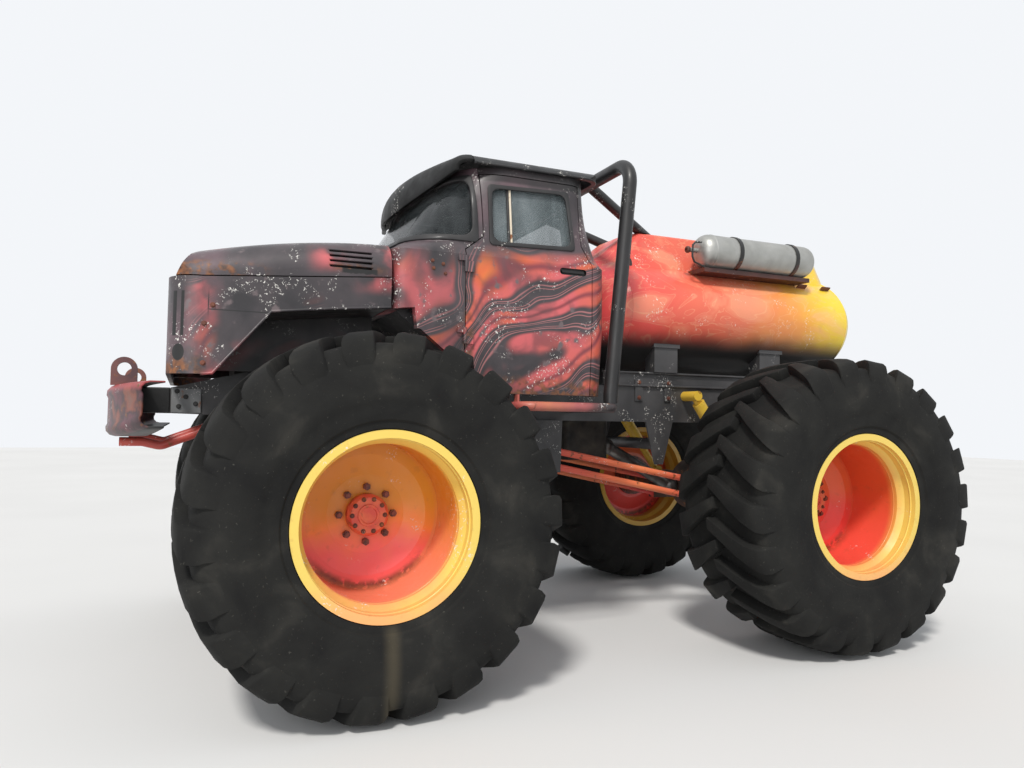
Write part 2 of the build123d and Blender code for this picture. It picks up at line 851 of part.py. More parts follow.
def cab_volume(inset, over=0):
    """The cab's outside shape, shrunk by inset and run past its ends by over."""
    with BuildPart() as volume:
        for index, (z, half, front, bow, rear, front_radius, rear_radius) in enumerate(cab_levels):
            if index == 0:
                z = z - over
            if index == len(cab_levels) - 1:
                z = z + over
            x = half - inset
            y_low = front + inset
            y_high = rear - inset
            r_front = front_radius - inset
            r_rear = rear_radius - inset
            corner_x = x - r_front
            corner_y = y_low + bow
            with BuildSketch(Plane.XY.offset(z)):
                with BuildLine():
                    if bow:
                        ThreePointArc((0, y_low), (corner_x / 2, y_low + bow / 4), (corner_x, corner_y))
                    else:
                        Line((0, y_low), (corner_x, corner_y))
                    CenterArc((corner_x, corner_y + r_front), r_front, -90, 90)
                    Line((x, corner_y + r_front), (x, y_high - r_rear))
                    CenterArc((x - r_rear, y_high - r_rear), r_rear, 0, 90)
                    Line((x - r_rear, y_high), (0, y_high))
                    mirror(about=Plane.YZ)
                make_face()
        loft(ruled=True)
    return volume.part


door_corners = (
    # distance behind the front axle, height above the hub
    (door_front, 800),
    (641, 742),
    (709, 672),
    (821, door_bottom),
    (door_rear, door_bottom),
    (door_rear, 1420),
    (door_upper_rear, 1530),
    (door_upper_rear, door_top),
    (door_upper_front, door_top),
    (door_upper_front, 1520),
    (door_front, 1430),
)
window_corners = (
    (712, 1482),
    (1244, 1498),
    (1216, 1850),
    (712, 1830),
)


def side_outline(corners, grow):
    """Closed outline on the truck's side, grown by a gap."""
    points = [(front_axle_y + corner[0], hub_z + corner[1]) for corner in corners]
    with BuildSketch(Plane.YZ) as outline:
        with BuildLine():
            Polyline(*points, close=True)
        make_face()
        if grow:
            offset(amount=grow, kind=Kind.INTERSECTION)
    return outline.sketch


with BuildPart() as cab_shell:
    add(cab_volume(0))
    add(cab_volume(wall, 2), mode=Mode.SUBTRACT)

with BuildPart() as glass_shell:
    add(cab_volume(glass_depth))
    add(cab_volume(glass_depth + glass_thickness, 2), mode=Mode.SUBTRACT)

# Doors and their windows
with BuildPart() as door_left:
    add(cab_shell.part)
    extrude(side_outline(door_corners, 0), amount=1200, mode=Mode.INTERSECT)
    extrude(side_outline(window_corners, 0), amount=1200, mode=Mode.SUBTRACT)
    with BuildSketch(Plane.YZ.offset(handle_recess_x)):
        with Locations((handle_y, handle_z)):
            SlotOverall(handle_length, handle_height)
    extrude(amount=100, mode=Mode.SUBTRACT)
    with BuildSketch(Plane.YZ.offset(handle_recess_x - 5)):
        with Locations((handle_y, handle_z)):
            SlotOverall(handle_length - 30, handle_height / 3)
    extrude(amount=18)
    for hinge_z in door_hinge_heights:
        with BuildSketch(Plane.XY.offset(hinge_z)):
            with Locations((door_hinge_x, door_hinge_y)):
                Circle(door_hinge_radius)
            with Locations((hinge_leaf_inner_x, door_hinge_y)):
                Rectangle(
                    hinge_leaf_outer_x - hinge_leaf_inner_x,
                    hinge_leaf_reach,
                    align=(Align.MIN, Align.MIN),
                )
        extrude(amount=door_hinge_length)
write(door_left.part, "door_left")
with BuildPart() as door_right:
    mirror(door_left.part, about=Plane.YZ)
write(door_right.part, "door_right")

with BuildPart() as door_glass_left:
    add(glass_shell.part)
    extrude(side_outline(window_corners, -seat_gap), amount=1200, mode=Mode.INTERSECT)
write(door_glass_left.part, "door_glass_left")
with BuildPart() as door_glass_right:
    mirror(door_glass_left.part, about=Plane.YZ)
write(door_glass_right.part, "door_glass_right")

# The fixed cab: doorways are cut, then the shell is split at the windscreen pillar
screen_low = glass_base_z + 22
screen_high = gutter_z - 62
screen_rear_y = front_axle_y + 624
doorway_corners = ((door_front, 500), (door_rear, 500)) + door_corners[5:]
with BuildPart() as cab_fixed:
    add(cab_shell.part)
    extrude(side_outline(doorway_corners, door_gap), amount=1200, both=True, mode=Mode.SUBTRACT)

with BuildPart() as cowl:
    add(cab_fixed.part)
    with BuildSketch(Plane.YZ):
        with BuildLine():
            Polyline(
                (cowl_front_y - 10, hub_z + 1070),
                (front_axle_y + 264, hub_z + 1083),
                (front_axle_y + 278, hub_z + 971),
                (front_axle_y + 300, hub_z + 967),
                (front_axle_y + 532, hub_z + 787),
                (pillar_y, hub_z + 690),
                (pillar_y, gutter_z + 10),
                (cowl_front_y - 10, gutter_z + 10),
                close=True,
            )
        make_face()
    extrude(amount=1200, both=True, mode=Mode.INTERSECT)
    with BuildSketch(Plane.YZ):
        with Locations(((cowl_front_y + screen_rear_y) / 2 - 100, (screen_low + screen_high) / 2)):
            Rectangle(screen_rear_y - cowl_front_y + 200, screen_high - screen_low)
    extrude(amount=1200, both=True, mode=Mode.SUBTRACT)
    for side in (1, -1):
        for hinge_z in door_hinge_heights:
            with BuildSketch(Plane.XY.offset(hinge_z + door_hinge_length + seat_gap)):
                with Locations((side * door_hinge_x, door_hinge_y)):
                    Circle(door_hinge_radius)
                with Locations((side * (hinge_leaf_inner_x + hinge_leaf_outer_x) / 2, door_hinge_y)):
                    Rectangle(
                        hinge_leaf_outer_x - hinge_leaf_inner_x,
                        hinge_leaf_reach,
                        align=(Align.CENTER, Align.MAX),
                    )
            extrude(amount=door_hinge_length / 2)
        with BuildSketch(Plane.YZ.offset(side * (hood_hinge_x + seat_gap / 2))):
            with Locations((hood_hinge_y, hood_hinge_z)):
                Circle(hood_hinge_radius)
            with BuildLine():
                Polyline(
                    (hood_hinge_y, hood_hinge_z + hood_hinge_radius),
                    (hood_hinge_y, hood_hinge_z - hood_hinge_radius),
                    (hood_hinge_y + 18, hood_hinge_z - 35),
                    (hood_hinge_y + hinge_arm, hood_hinge_z - 5),
                    (hood_hinge_y + hinge_arm, hood_hinge_z + 4),
                    close=True,
                )
            make_face()
        extrude(amount=side * hood_hinge_width)
write(cowl.part, "cowl")

with BuildPart() as windscreen:
    add(glass_shell.part)
    with BuildSketch(Plane.YZ):
        with Locations(((cowl_front_y + screen_rear_y) / 2 - 100, (screen_low + screen_high) / 2)):
            Rectangle(
                screen_rear_y - cowl_front_y + 200 - 2 * seat_gap,
                screen_high - screen_low - 2 * seat_gap,
            )
    extrude(amount=1200, both=True, mode=Mode.INTERSECT)
write(windscreen.part, "windscreen")

rear_window_low = hub_z + 1520
rear_window_high = hub_z + 1840
rear_window_half = 540
with BuildPart() as cab_rear_wall:
    add(cab_fixed.part)
    with BuildSketch(Plane.YZ):
        with Locations((pillar_y, cab_bottom - 10)):
            Rectangle(1200, gutter_z - cab_bottom + 20, align=(Align.MIN, Align.MIN))
    extrude(amount=1200, both=True, mode=Mode.INTERSECT)
    with BuildSketch(Plane.XZ.offset(-cab_rear_y - 50)):
        with Locations((0, cab_bottom)):
            Rectangle(1560, 2 * (cab_floor_top - floor_thickness - cab_bottom))
        with Locations((0, (rear_window_low + rear_window_high) / 2)):
            RectangleRounded(2 * rear_window_half, rear_window_high - rear_window_low, 70)
    extrude(amount=400, mode=Mode.SUBTRACT)
write(cab_rear_wall.part, "cab_rear_wall")

with BuildPart() as rear_window:
    add(glass_shell.part)
    with BuildSketch(Plane.XZ.offset(-cab_rear_y - 50)):
        with Locations((0, (rear_window_low + rear_window_high) / 2)):
            RectangleRounded(
                2 * (rear_window_half - seat_gap),
                rear_window_high - rear_window_low - 2 * seat_gap,
                70 - seat_gap,
            )
    extrude(amount=400, mode=Mode.INTERSECT)
write(rear_window.part, "rear_window")

# Floor with the toe board, standing on rubber blocks on the rails
floor_low = cab_floor_top - floor_thickness
floor_half = 840
floor_rear_y = cab_rear_y - 10 - wall - 3
with BuildPart() as cab_floor:
    with BuildSketch(Plane.YZ.offset(-floor_half)):
        with BuildLine():
            Polyline(
                (floor_rear_y, floor_low),
                (front_axle_y + 620, floor_low),
                (cowl_front_y + wall, hub_z + 1070),
                (cowl_front_y + wall, hub_z + 1130),
                (front_axle_y + 634, cab_floor_top),
                (floor_rear_y, cab_floor_top),
                close=True,
            )
        make_face()
    extrude(amount=2 * floor_half)
    for side in (1, -1):
        for block_y in (front_axle_y + 760, front_axle_y + 1250):
            with BuildSketch(Plane.XY.offset(rail_top)):
                with Locations((side * (rail_outer_x - rail_flange / 2), block_y)):
                    Rectangle(60, 90)
            extrude(amount=floor_low - rail_top)
write(cab_floor.part, "cab_floor")

# Seat, dashboard and steering wheel
seat_half = 760
seat_front_y = front_axle_y + 900
with BuildPart() as seat:
    with BuildSketch(Plane.YZ.offset(-seat_half)):
        with BuildLine():
            Polyline(
                (seat_front_y, cab_floor_top),
                (seat_front_y, cab_floor_top + 280),
                (floor_rear_y - 190, cab_floor_top + 280),
                (floor_rear_y - 150, cab_floor_top + 720),
                (floor_rear_y - 60, cab_floor_top + 720),
                (floor_rear_y - 10, cab_floor_top + 480),
                (floor_rear_y - 10, cab_floor_top),
                close=True,
            )
        make_face()
    extrude(amount=2 * seat_half)
write(seat.part, "seat")

dash_rear_y = front_axle_y + 420
with BuildPart() as dashboard:
    with BuildSketch(Plane.YZ.offset(-840)):
        with BuildLine():
            Polyline(
                (cowl_front_y + wall, hub_z + 1180),
                (dash_rear_y, hub_z + 1180),
                (dash_rear_y, hub_z + 1370),
                (dash_rear_y - 60, hub_z + 1400),
                (cowl_front_y + wall, hub_z + 1400),
                close=True,
            )
        make_face()
    extrude(amount=1680)
write(dashboard.part, "dashboard")

steering_wheel_x = -400
steering_tilt = 40
steering_ring = 215
rim_section = 15
wheel_centre = Vector(steering_wheel_x, front_axle_y + 640, hub_z + 1420)
steering_axis = Vector(0, cos(radians(steering_tilt)), sin(radians(steering_tilt)))
steering_plane = Plane(origin=wheel_centre, x_dir=(1, 0, 0), z_dir=steering_axis)
with BuildPart() as steering_wheel:
    with BuildSketch(Plane(origin=wheel_centre, x_dir=(1, 0, 0), z_dir=steering_plane.y_dir)):
        with Locations((steering_ring, 0)):
            Circle(rim_section)
    revolve(axis=Axis(wheel_centre, steering_axis))
    with BuildSketch(steering_plane.offset(-8)):
        Rectangle(2 * steering_ring, 30)
        with Locations((0, -steering_ring / 2)):
            Rectangle(30, steering_ring)
        Circle(45)
    extrude(amount=16)
    with BuildSketch(steering_plane.offset(-8)):
        Circle(26)
    extrude(amount=-400)
    with BuildSketch(Plane.XZ.offset(-dash_rear_y)):
        with Locations((steering_wheel_x, hub_z + 1290)):
            Rectangle(400, 700)
    extrude(amount=400, mode=Mode.SUBTRACT)
write(steering_wheel.part, "steering_wheel")


# Roof and visor: one shell, shaped from the side, from the front and from above
def roof_volume(inset):
    """Roof and visor shape, shrunk by inset; its underside is cut later."""
    low = hub_z + 1600
    past = 60
    half = roof_half_width - inset
    with BuildPart() as volume:
        with BuildSketch(Plane.XY.offset(low)) as plan:
            with BuildLine():
                ThreePointArc(
                    (-half, visor_side_y + inset),
                    (0, visor_front_y + inset),
                    (half, visor_side_y + inset),
                )
                Polyline(
                    (half, visor_side_y + inset),
                    (half, roof_rear_y - inset),
                    (-half, roof_rear_y - inset),
                    (-half, visor_side_y + inset),
                )
            make_face()
            fillet(plan.vertices(), visor_corner_radius - inset)
        extrude(amount=1000)
        nose = (front_axle_y + 300 + inset, hub_z + 1720)
        brow = (front_axle_y + 800, roof_top - 6 - inset)
        tail = (roof_rear_y - 30 - inset, roof_top - 60 - inset)
        with BuildSketch(Plane.YZ):
            with BuildLine():
                Polyline((nose[0] - past, low - past), (nose[0] - past, nose[1]), nose)
                ThreePointArc(
                    nose,
                    (front_axle_y + 395 + 0.8 * inset, hub_z + 1995 - 0.6 * inset),
                    brow,
                )
                ThreePointArc(brow, (front_axle_y + 1120, roof_top - inset), tail)
                Polyline(
                    tail,
                    (roof_rear_y - inset + 21, gutter_z - 60),
                    (roof_rear_y + past, gutter_z - 60),
                    (roof_rear_y + past, low - past),
                    (nose[0] - past, low - past),
                )
            make_face()
        extrude(amount=1000, both=True, mode=Mode.INTERSECT)
        with BuildSketch(Plane.XZ):
            with BuildLine():
                Polyline(
                    (0, low - past),
                    (half + past, low - past),
                    (half + past, gutter_z - 60),
                    (half + 12, gutter_z - 60),
                )
                ThreePointArc(
                    (half + 12, gutter_z - 60),
                    (roof_half_width - 25 - 0.8 * inset, hub_z + 1990 - 0.6 * inset),
                    (roof_half_width - 115, hub_z + 2015 - inset),
                )
                ThreePointArc(
                    (roof_half_width - 115, hub_z + 2015 - inset),
                    (roof_half_width / 2 - 60, hub_z + 2068 - inset),
                    (0, roof_top - inset),
                )
                mirror(about=Plane.YZ)
            make_face()
        extrude(amount=4000, both=True, mode=Mode.INTERSECT)
    return volume.part


with BuildPart() as roof_shell:
    add(roof_volume(0))
    add(roof_volume(roof_sheet), mode=Mode.SUBTRACT)
    with BuildSketch(Plane.YZ):
        with BuildLine():
            Polyline(
                (visor_front_y - 100, hub_z + 1500),
                (visor_front_y - 100, visor_lip_z - 30),
                (visor_side_y + 60, visor_side_lip_z),
                (visor_split_y, gutter_z - 30),
                (visor_split_y, gutter_z),
                (roof_rear_y + 50, gutter_z),
                (roof_rear_y + 50, hub_z + 1500),
                close=True,
            )
        make_face()
    extrude(amount=1200, both=True, mode=Mode.SUBTRACT)

for name, front, rear in (
    ("visor", visor_front_y - 50, visor_split_y),
    ("cab_roof", visor_split_y, roof_rear_y + 50),
):
    with BuildPart() as roof_piece:
        add(roof_shell.part)
        with BuildSketch(Plane.XY.offset(hub_z + 1500)):
            with Locations((0, (front + rear) / 2)):
                Rectangle(2400, rear - front)
        extrude(amount=1000, mode=Mode.INTERSECT)
    write(roof_piece.part, name)


# Front body: fenders, grille panel and hood from one rounded plan
def nose_plan(inset):
    """Plan outline of the front body from the nose to behind the cowl's front."""
    x = body_half_width - inset
    r = nose_corner_radius - inset
    y_low = nose_y + inset
    with BuildSketch(Plane.XY) as plan:
        with BuildLine():
            Line((0, y_low), (x - r, y_low))
            CenterArc((x - r, y_low + r), r, -90, 90)
            Line((x, y_low + r), (x, cowl_front_y + 200))
            Line((x, cowl_front_y + 200), (0, cowl_front_y + 200))
            mirror(about=Plane.YZ)
        make_face()
    return plan.sketch


def hood_volume(inset):
    """Hood shape, shrunk by inset; its lower edge is cut later."""
    low = hub_z + 900
    past = 60
    with BuildPart() as volume:
        for back, drop in hood_sections:
            half = body_half_width - inset
            top = hood_top - drop - inset
            with BuildSketch(Plane.XZ.offset(-front_axle_y - back)):
                with BuildLine():
                    Polyline((0, low), (half, low), (half, top - 240))
                    ThreePointArc(
                        (half, top - 240),
                        (half - 35 + 0.2 * inset, top - 145 + 0.3 * inset),
                        (half - 130, top - 90),
                    )
                    ThreePointArc((half - 130, top - 90), (half / 2 - 30, top - 19), (0, top))
                    mirror(about=Plane.YZ)
                make_face()
        loft()
        with BuildSketch(Plane.XY.offset(low)):
            add(nose_plan(inset))
        extrude(amount=1000, mode=Mode.INTERSECT)
        start = (front_axle_y - 948 + inset, hub_z + 1020)
        brow = (front_axle_y - 640, hub_z + 1445 - inset)
        with BuildSketch(Plane.YZ):
            with BuildLine():
                Polyline((start[0] - past, low - past), (start[0] - past, start[1]), start)
                ThreePointArc(
                    start,
                    (front_axle_y - 868 + 0.8 * inset, hub_z + 1260 - 0.6 * inset),
                    brow,
                )
                Polyline(
                    brow,
                    (brow[0] + 100, hub_z + 1700),
                    (cowl_front_y + 200 + past, hub_z + 1700),
                    (cowl_front_y + 200 + past, low - past),
                    (start[0] - past, low - past),
                )
            make_face()
        extrude(amount=1200, both=True, mode=Mode.INTERSECT)
    return volume.part


with BuildPart() as hood:
    add(hood_volume(0))
    add(hood_volume(hood_sheet), mode=Mode.SUBTRACT)
    with BuildSketch(Plane.YZ):
        with BuildLine():
            Polyline(
                (nose_y - 50, hood_seam_front_z),
                (nose_y + 150, hood_seam_front_z),
                (hood_rear_y, hood_seam_rear_z),
                (hood_rear_y, hood_top + 100),
                (nose_y - 50, hood_top + 100),
                close=True,
            )
        make_face()
    extrude(amount=1200, both=True, mode=Mode.INTERSECT)
    with BuildSketch(Plane.YZ):
        with Locations((louvre_y, louvre_z)):
            with GridLocations(0, louvre_pitch, 1, louvre_count):
                SlotOverall(louvre_length, louvre_height)
    extrude(amount=1200, both=True, mode=Mode.SUBTRACT)
    for side in (1, -1):
        with BuildSketch(Plane.YZ.offset(side * (hood_hinge_x - seat_gap / 2))):
            with Locations((hood_hinge_y, hood_hinge_z)):
                Circle(hood_hinge_radius)
            with BuildLine():
                Polyline(
                    (hood_hinge_y, hood_hinge_z + hood_hinge_radius),
                    (hood_hinge_y, hood_hinge_z - hood_hinge_radius),
                    (hood_hinge_y - 36, hood_hinge_z - 18),
                    (hood_hinge_y - 36, hood_hinge_z),
                    close=True,
                )
            make_face()
        extrude(amount=-side * hood_hinge_width)
write(hood.part, "hood")

# Grille panel: the nose wall with its slots and empty lamp holes
fender_front_y = nose_y + nose_corner_radius
with BuildPart() as grille_panel:
    with BuildSketch(Plane.XY.offset(grille_bottom)):
        add(nose_plan(0))
        add(nose_plan(fender_sheet), mode=Mode.SUBTRACT)
        with Locations((0, fender_front_y)):
            Rectangle(2400, 3000, align=(Align.CENTER, Align.MIN), mode=Mode.SUBTRACT)
    extrude(amount=hood_seam_front_z - door_gap - grille_bottom)
    with BuildSketch(Plane.XZ.offset(-nose_y + 20)):
        with Locations((0, hub_z + 1010)):
            with GridLocations(grille_slot_pitch, 0, grille_slots, 1):
                SlotOverall(grille_slot_height, grille_slot_width, rotation=90)
        for side in (1, -1):
            with Locations((side * headlamp_x, hub_z + 800)):
                Circle(headlamp_radius)
    extrude(amount=-90, mode=Mode.SUBTRACT)
write(grille_panel.part, "grille_panel")

# Fenders: side sheet, arch top and inner apron in one piece
fender_lip = (
    # distance behind the front axle, height above the hub
    (140 - 6, 1072),
    (-187, 1043),
    (-473, 1010),
    (-742, 690),
    (-800, 685),
)
apron_x = 500
fender_rear_y = cowl_front_y - door_gap
for name, side in (("left", 1), ("right", -1)):
    lip = [(front_axle_y + back, hub_z + rise) for back, rise in fender_lip]
    with BuildPart() as fender:
        with BuildSketch(cross_plane(side * body_half_width, 0, 0)):
            with BuildLine():
                Polyline(
                    *lip,
                    (fender_front_y, hood_seam_front_z - door_gap),
                    (fender_rear_y, hood_seam_rear_z - door_gap),
                    close=True,
                )
            make_face()
        extrude(amount=-side * fender_sheet)
        with BuildSketch(cross_plane(side * body_half_width, 0, 0)):
            with BuildLine():
                Polyline(
                    *lip[:3],
                    (lip[2][0], lip[2][1] + fender_sheet),
                    (lip[1][0], lip[1][1] + fender_sheet),
                    (lip[0][0], lip[0][1] + fender_sheet),
                    close=True,
                )
            make_face()
        extrude(amount=-side * (body_half_width - apron_x))
        with BuildSketch(cross_plane(side * apron_x, 0, 0)):
            with BuildLine():
                Polyline(
                    (fender_rear_y, rail_top),
                    (fender_rear_y, lip[0][1] + fender_sheet),
                    (lip[2][0], lip[2][1] + fender_sheet),
                    (nose_y + fender_sheet, lip[2][1] + fender_sheet),
                    (nose_y + fender_sheet, rail_top),
                    close=True,
                )
            make_face()
        extrude(amount=side * 14)
        with BuildSketch(Plane.XY.offset(rail_top)):
            with Locations((side * (apron_x / 2 + rail_outer_x / 2 - 10), front_axle_y)):
                Rectangle(apron_x - rail_outer_x + 20, 160)
        extrude(amount=14)
    write(fender.part, f"fender_{name}")

# Tank with domed ends: turned, then widened to its oval section
tank_dome_front_y = tank_front_y + tank_dome
tank_dome_rear_y = tank_rear_y - tank_dome
crown = (tank_half_height ** 2 + tank_dome ** 2) / (2 * tank_dome)
half_turn = atan2(tank_half_height, crown - tank_dome) / 2
sag = crown * (1 - cos(half_turn))
rise = crown * sin(half_turn)
with BuildPart() as tank:
    with BuildSketch(Plane.YZ):
        with BuildLine():
            ThreePointArc(
                (tank_front_y, tank_z),
                (tank_front_y + sag, tank_z + rise),
                (tank_dome_front_y, tank_z + tank_half_height),
            )
            Line(
                (tank_dome_front_y, tank_z + tank_half_height),
                (tank_dome_rear_y, tank_z + tank_half_height),
            )
            ThreePointArc(
                (tank_dome_rear_y, tank_z + tank_half_height),
                (tank_rear_y - sag, tank_z + rise),
                (tank_rear_y, tank_z),
            )
            Line((tank_rear_y, tank_z), (tank_front_y, tank_z))
        make_face()
    revolve(axis=Axis((0, 0, tank_z), (0, 1, 0)))
    scale(by=(tank_half_width / tank_half_height, 1, 1))
write(tank.part, "tank")


def tank_clearance():
    """Straight oval bar a seat gap larger than the tank, for cutting what stands on it."""
    with BuildPart() as bar:
        with BuildSketch(Plane.XZ.offset(-tank_front_y + 500)):
            with Locations((0, tank_z)):
                Ellipse(tank_half_width + seat_gap, tank_half_height + seat_gap)
        extrude(amount=-5000)
    return bar.part


spine_low_z = tank_z + 200
with BuildPart() as tank_spine:
    with BuildSketch(Plane.XZ):
        with BuildLine():
            Polyline(
                (-spine_base_half, spine_low_z),
                (spine_base_half, spine_low_z),
                (spine_base_half, spine_base_z),
                (spine_top_half, spine_top_z),
                (-spine_top_half, spine_top_z),
                (-spine_base_half, spine_base_z),
                close=True,
            )
        make_face()
    extrude(amount=5000, both=True)
    with BuildSketch(Plane.YZ):
        with BuildLine():
            Polyline(
                (spine_front_y, spine_base_z),
                (spine_front_y + 390, spine_top_z),
                (spine_rear_y - 150, spine_top_z),
                (spine_rear_y, spine_base_z),
                (tank_dome_rear_y, spine_low_z),
                (tank_dome_front_y, spine_low_z),
                close=True,
            )
        make_face()
    extrude(amount=1000, both=True, mode=Mode.INTERSECT)
    add(tank_clearance(), mode=Mode.SUBTRACT)
write(tank_spine.part, "tank_spine")

beam_top = rail_top + beam_height
saddle_stations = (front_axle_y + 2216, front_axle_y + 3132)
saddle_width = saddle_outer_x - saddle_inner_x
saddle_x = (saddle_inner_x + saddle_outer_x) / 2
with BuildPart() as tank_saddles:
    for saddle_y in saddle_stations:
        for side in (1, -1):
            with BuildSketch(Plane.XY.offset(beam_top)):
                with Locations((side * saddle_x, saddle_y)):
                    Rectangle(saddle_width, saddle_length)
            extrude(amount=saddle_top_z - beam_top)
            with BuildSketch(Plane.XY.offset(saddle_top_z - 60)):
                with Locations((side * saddle_x, saddle_y)):
                    Rectangle(saddle_width + 24, saddle_length + 24)
            extrude(amount=60)
    add(tank_clearance(), mode=Mode.SUBTRACT)
write(tank_saddles.part, "tank_saddles")

# Gas cylinder with its valve, cradled beside the spine
cylinder_axis = Axis((cylinder_x, 0, cylinder_z), (0, 1, 0))
cylinder_rear_y = cylinder_front_y + cylinder_length
with BuildPart() as gas_cylinder:
    with BuildSketch(Plane.YZ.offset(cylinder_x)) as cylinder_section:
        with BuildLine():
            Polyline(
                (cylinder_front_y - 70, cylinder_z),
                (cylinder_front_y - 70, cylinder_z + 17),
                (cylinder_front_y, cylinder_z + 17),
                (cylinder_front_y, cylinder_z + cylinder_radius),
                (cylinder_rear_y, cylinder_z + cylinder_radius),
                (cylinder_rear_y, cylinder_z),
                close=True,
            )
        make_face()
        fillet(cylinder_section.vertices().group_by(Axis.Y)[-1], 85)
    revolve(axis=cylinder_axis)
write(gas_cylinder.part, "gas_cylinder")

cradle_top_z = cylinder_z - cylinder_radius - strap_thickness / 2
cradle_thickness = 30
cradle_inner_x = 330
with BuildPart() as cylinder_cradle:
    with BuildSketch(Plane.XY.offset(cradle_top_z - cradle_thickness)):
        with Locations((cradle_inner_x, (cylinder_front_y + cylinder_rear_y) / 2)):
            Rectangle(
                cylinder_x + 50 - cradle_inner_x,
                cylinder_length - 60,
                align=(Align.MIN, Align.CENTER),
            )
    extrude(amount=cradle_thickness)
    for strap_y in (cylinder_front_y + 290, cylinder_front_y + 800):
        with BuildSketch(Plane(origin=(cylinder_x, strap_y, cylinder_z), x_dir=(1, 0, 0), z_dir=(0, 1, 0))):
            Circle(cylinder_radius + strap_thickness + seat_gap)
        extrude(amount=strap_width)
    with BuildSketch(Plane(origin=(cylinder_x, tank_front_y, cylinder_z), x_dir=(1, 0, 0), z_dir=(0, 1, 0))):
        Circle(cylinder_radius + seat_gap)
    extrude(amount=3000, mode=Mode.SUBTRACT)
    add(tank_clearance(), mode=Mode.SUBTRACT)
    with BuildSketch(Plane.XZ.offset(-tank_front_y)):
        with BuildLine():
            Polyline(
                (0, spine_low_z),
                (spine_base_half + seat_gap, spine_low_z),
                (spine_base_half + seat_gap, spine_base_z),
                (spine_top_half + seat_gap, spine_top_z),
                (0, spine_top_z),
                close=True,
            )
        make_face()
    extrude(amount=-3000, mode=Mode.SUBTRACT)
write(cylinder_cradle.part, "cylinder_cradle")

# Roll hoop: its feet stand on the step bars, and two stays lean back on the spine
hoop_foot_z = step_z + step_radius + seat_gap
with BuildPart() as roll_hoop:
    with BuildLine() as hoop_path:
        FilletPolyline(
            (hoop_half_width, hoop_foot_y, hoop_foot_z),
            (hoop_half_width, hoop_foot_y, hoop_foot_z + 60),
            (hoop_half_width, hoop_top_y, hoop_top_z),
            (-hoop_half_width, hoop_top_y, hoop_top_z),
            (-hoop_half_width, hoop_foot_y, hoop_foot_z + 60),
            (-hoop_half_width, hoop_foot_y, hoop_foot_z),
            radius=hoop_bend,
        )
    with BuildSketch(Plane(origin=hoop_path.line @ 0, z_dir=hoop_path.line % 0)):
        Circle(hoop_radius)
    sweep(path=hoop_path.line)
    for side in (1, -1):
        stay_top = Vector(side * stay_top_x, hoop_top_y, hoop_top_z)
        stay_foot = Vector(side * stay_foot_x, stay_foot_y, spine_top_z)
        along = (stay_foot - stay_top).normalized()
        with BuildSketch(Plane(origin=stay_top, z_dir=along)):
            Circle(stay_radius)
        extrude(amount=(stay_foot - stay_top).length + 60)
    with BuildSketch(Plane.XY.offset(spine_top_z)):
        with Locations((0, stay_foot_y)):
            Rectangle(900, 400)
    extrude(amount=-200, mode=Mode.SUBTRACT)
write(roll_hoop.part, "roll_hoop")
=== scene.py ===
import bpy
from math import cos, pi, radians, sin, tan
from mathutils import Matrix, Vector


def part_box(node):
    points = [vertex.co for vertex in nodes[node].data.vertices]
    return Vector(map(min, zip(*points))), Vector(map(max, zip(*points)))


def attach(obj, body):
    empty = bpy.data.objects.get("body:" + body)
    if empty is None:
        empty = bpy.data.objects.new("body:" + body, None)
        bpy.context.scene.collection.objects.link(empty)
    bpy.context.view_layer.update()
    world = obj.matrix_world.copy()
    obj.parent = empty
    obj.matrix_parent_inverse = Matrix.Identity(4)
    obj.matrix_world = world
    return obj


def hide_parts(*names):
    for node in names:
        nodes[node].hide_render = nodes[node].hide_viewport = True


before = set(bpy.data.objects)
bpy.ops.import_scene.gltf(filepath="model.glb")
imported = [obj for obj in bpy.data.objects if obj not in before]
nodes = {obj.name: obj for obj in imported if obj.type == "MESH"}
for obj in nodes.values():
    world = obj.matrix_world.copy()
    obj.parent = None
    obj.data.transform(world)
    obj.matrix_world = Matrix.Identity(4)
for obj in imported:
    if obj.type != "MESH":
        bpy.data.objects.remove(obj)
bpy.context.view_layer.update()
bpy.ops.object.select_all(action="DESELECT")

# Places on the truck, in metres
front_axle_y = -1.395
rear_axle_y = 1.505
hub_z = 0.9
wheel_x = 1.22
wheels = (
    # name, side, axle position
    ("front_left", 1, front_axle_y),
    ("front_right", -1, front_axle_y),
    ("rear_left", 1, rear_axle_y),
    ("rear_right", -1, rear_axle_y),
)
rail_z = 1.462
door_front_y = front_axle_y + 0.575
door_window_top = 2.755
handle_y, handle_z = -0.173, 2.259
latch_y, latch_z = -0.031, 2.46
louvre_y, louvre_z = -1.477, 2.209
hood_patch_y, hood_patch_z = -1.43, 2.150
nose_seam_y = -2.185
nose_upright_y, nose_level_z = -2.163, 1.900
lamp_hole_y, lamp_hole_z = -2.292, 1.688
nose_slots_y, nose_slots_z = (-2.278, -2.312), 1.877
tank_z = 2.155
# The height where the near-black painted shade under the tank's belly begins
tank_belly_shade_top = 2.02
filler_y, filler_z = 0.592, 2.505

# The rims, from the truck's centre plane and from the wheel's axis
disc_x = 1.07
disc_radius = 0.350
lip_x = 1.38
cap_radius = 0.106

# The bumper's face: half width, middle, how far its ends are swept back, and how sharply
bumper_half = 0.93
bumper_front_y = -2.655
bumper_sweep = 0.20
bumper_bend = 2.6

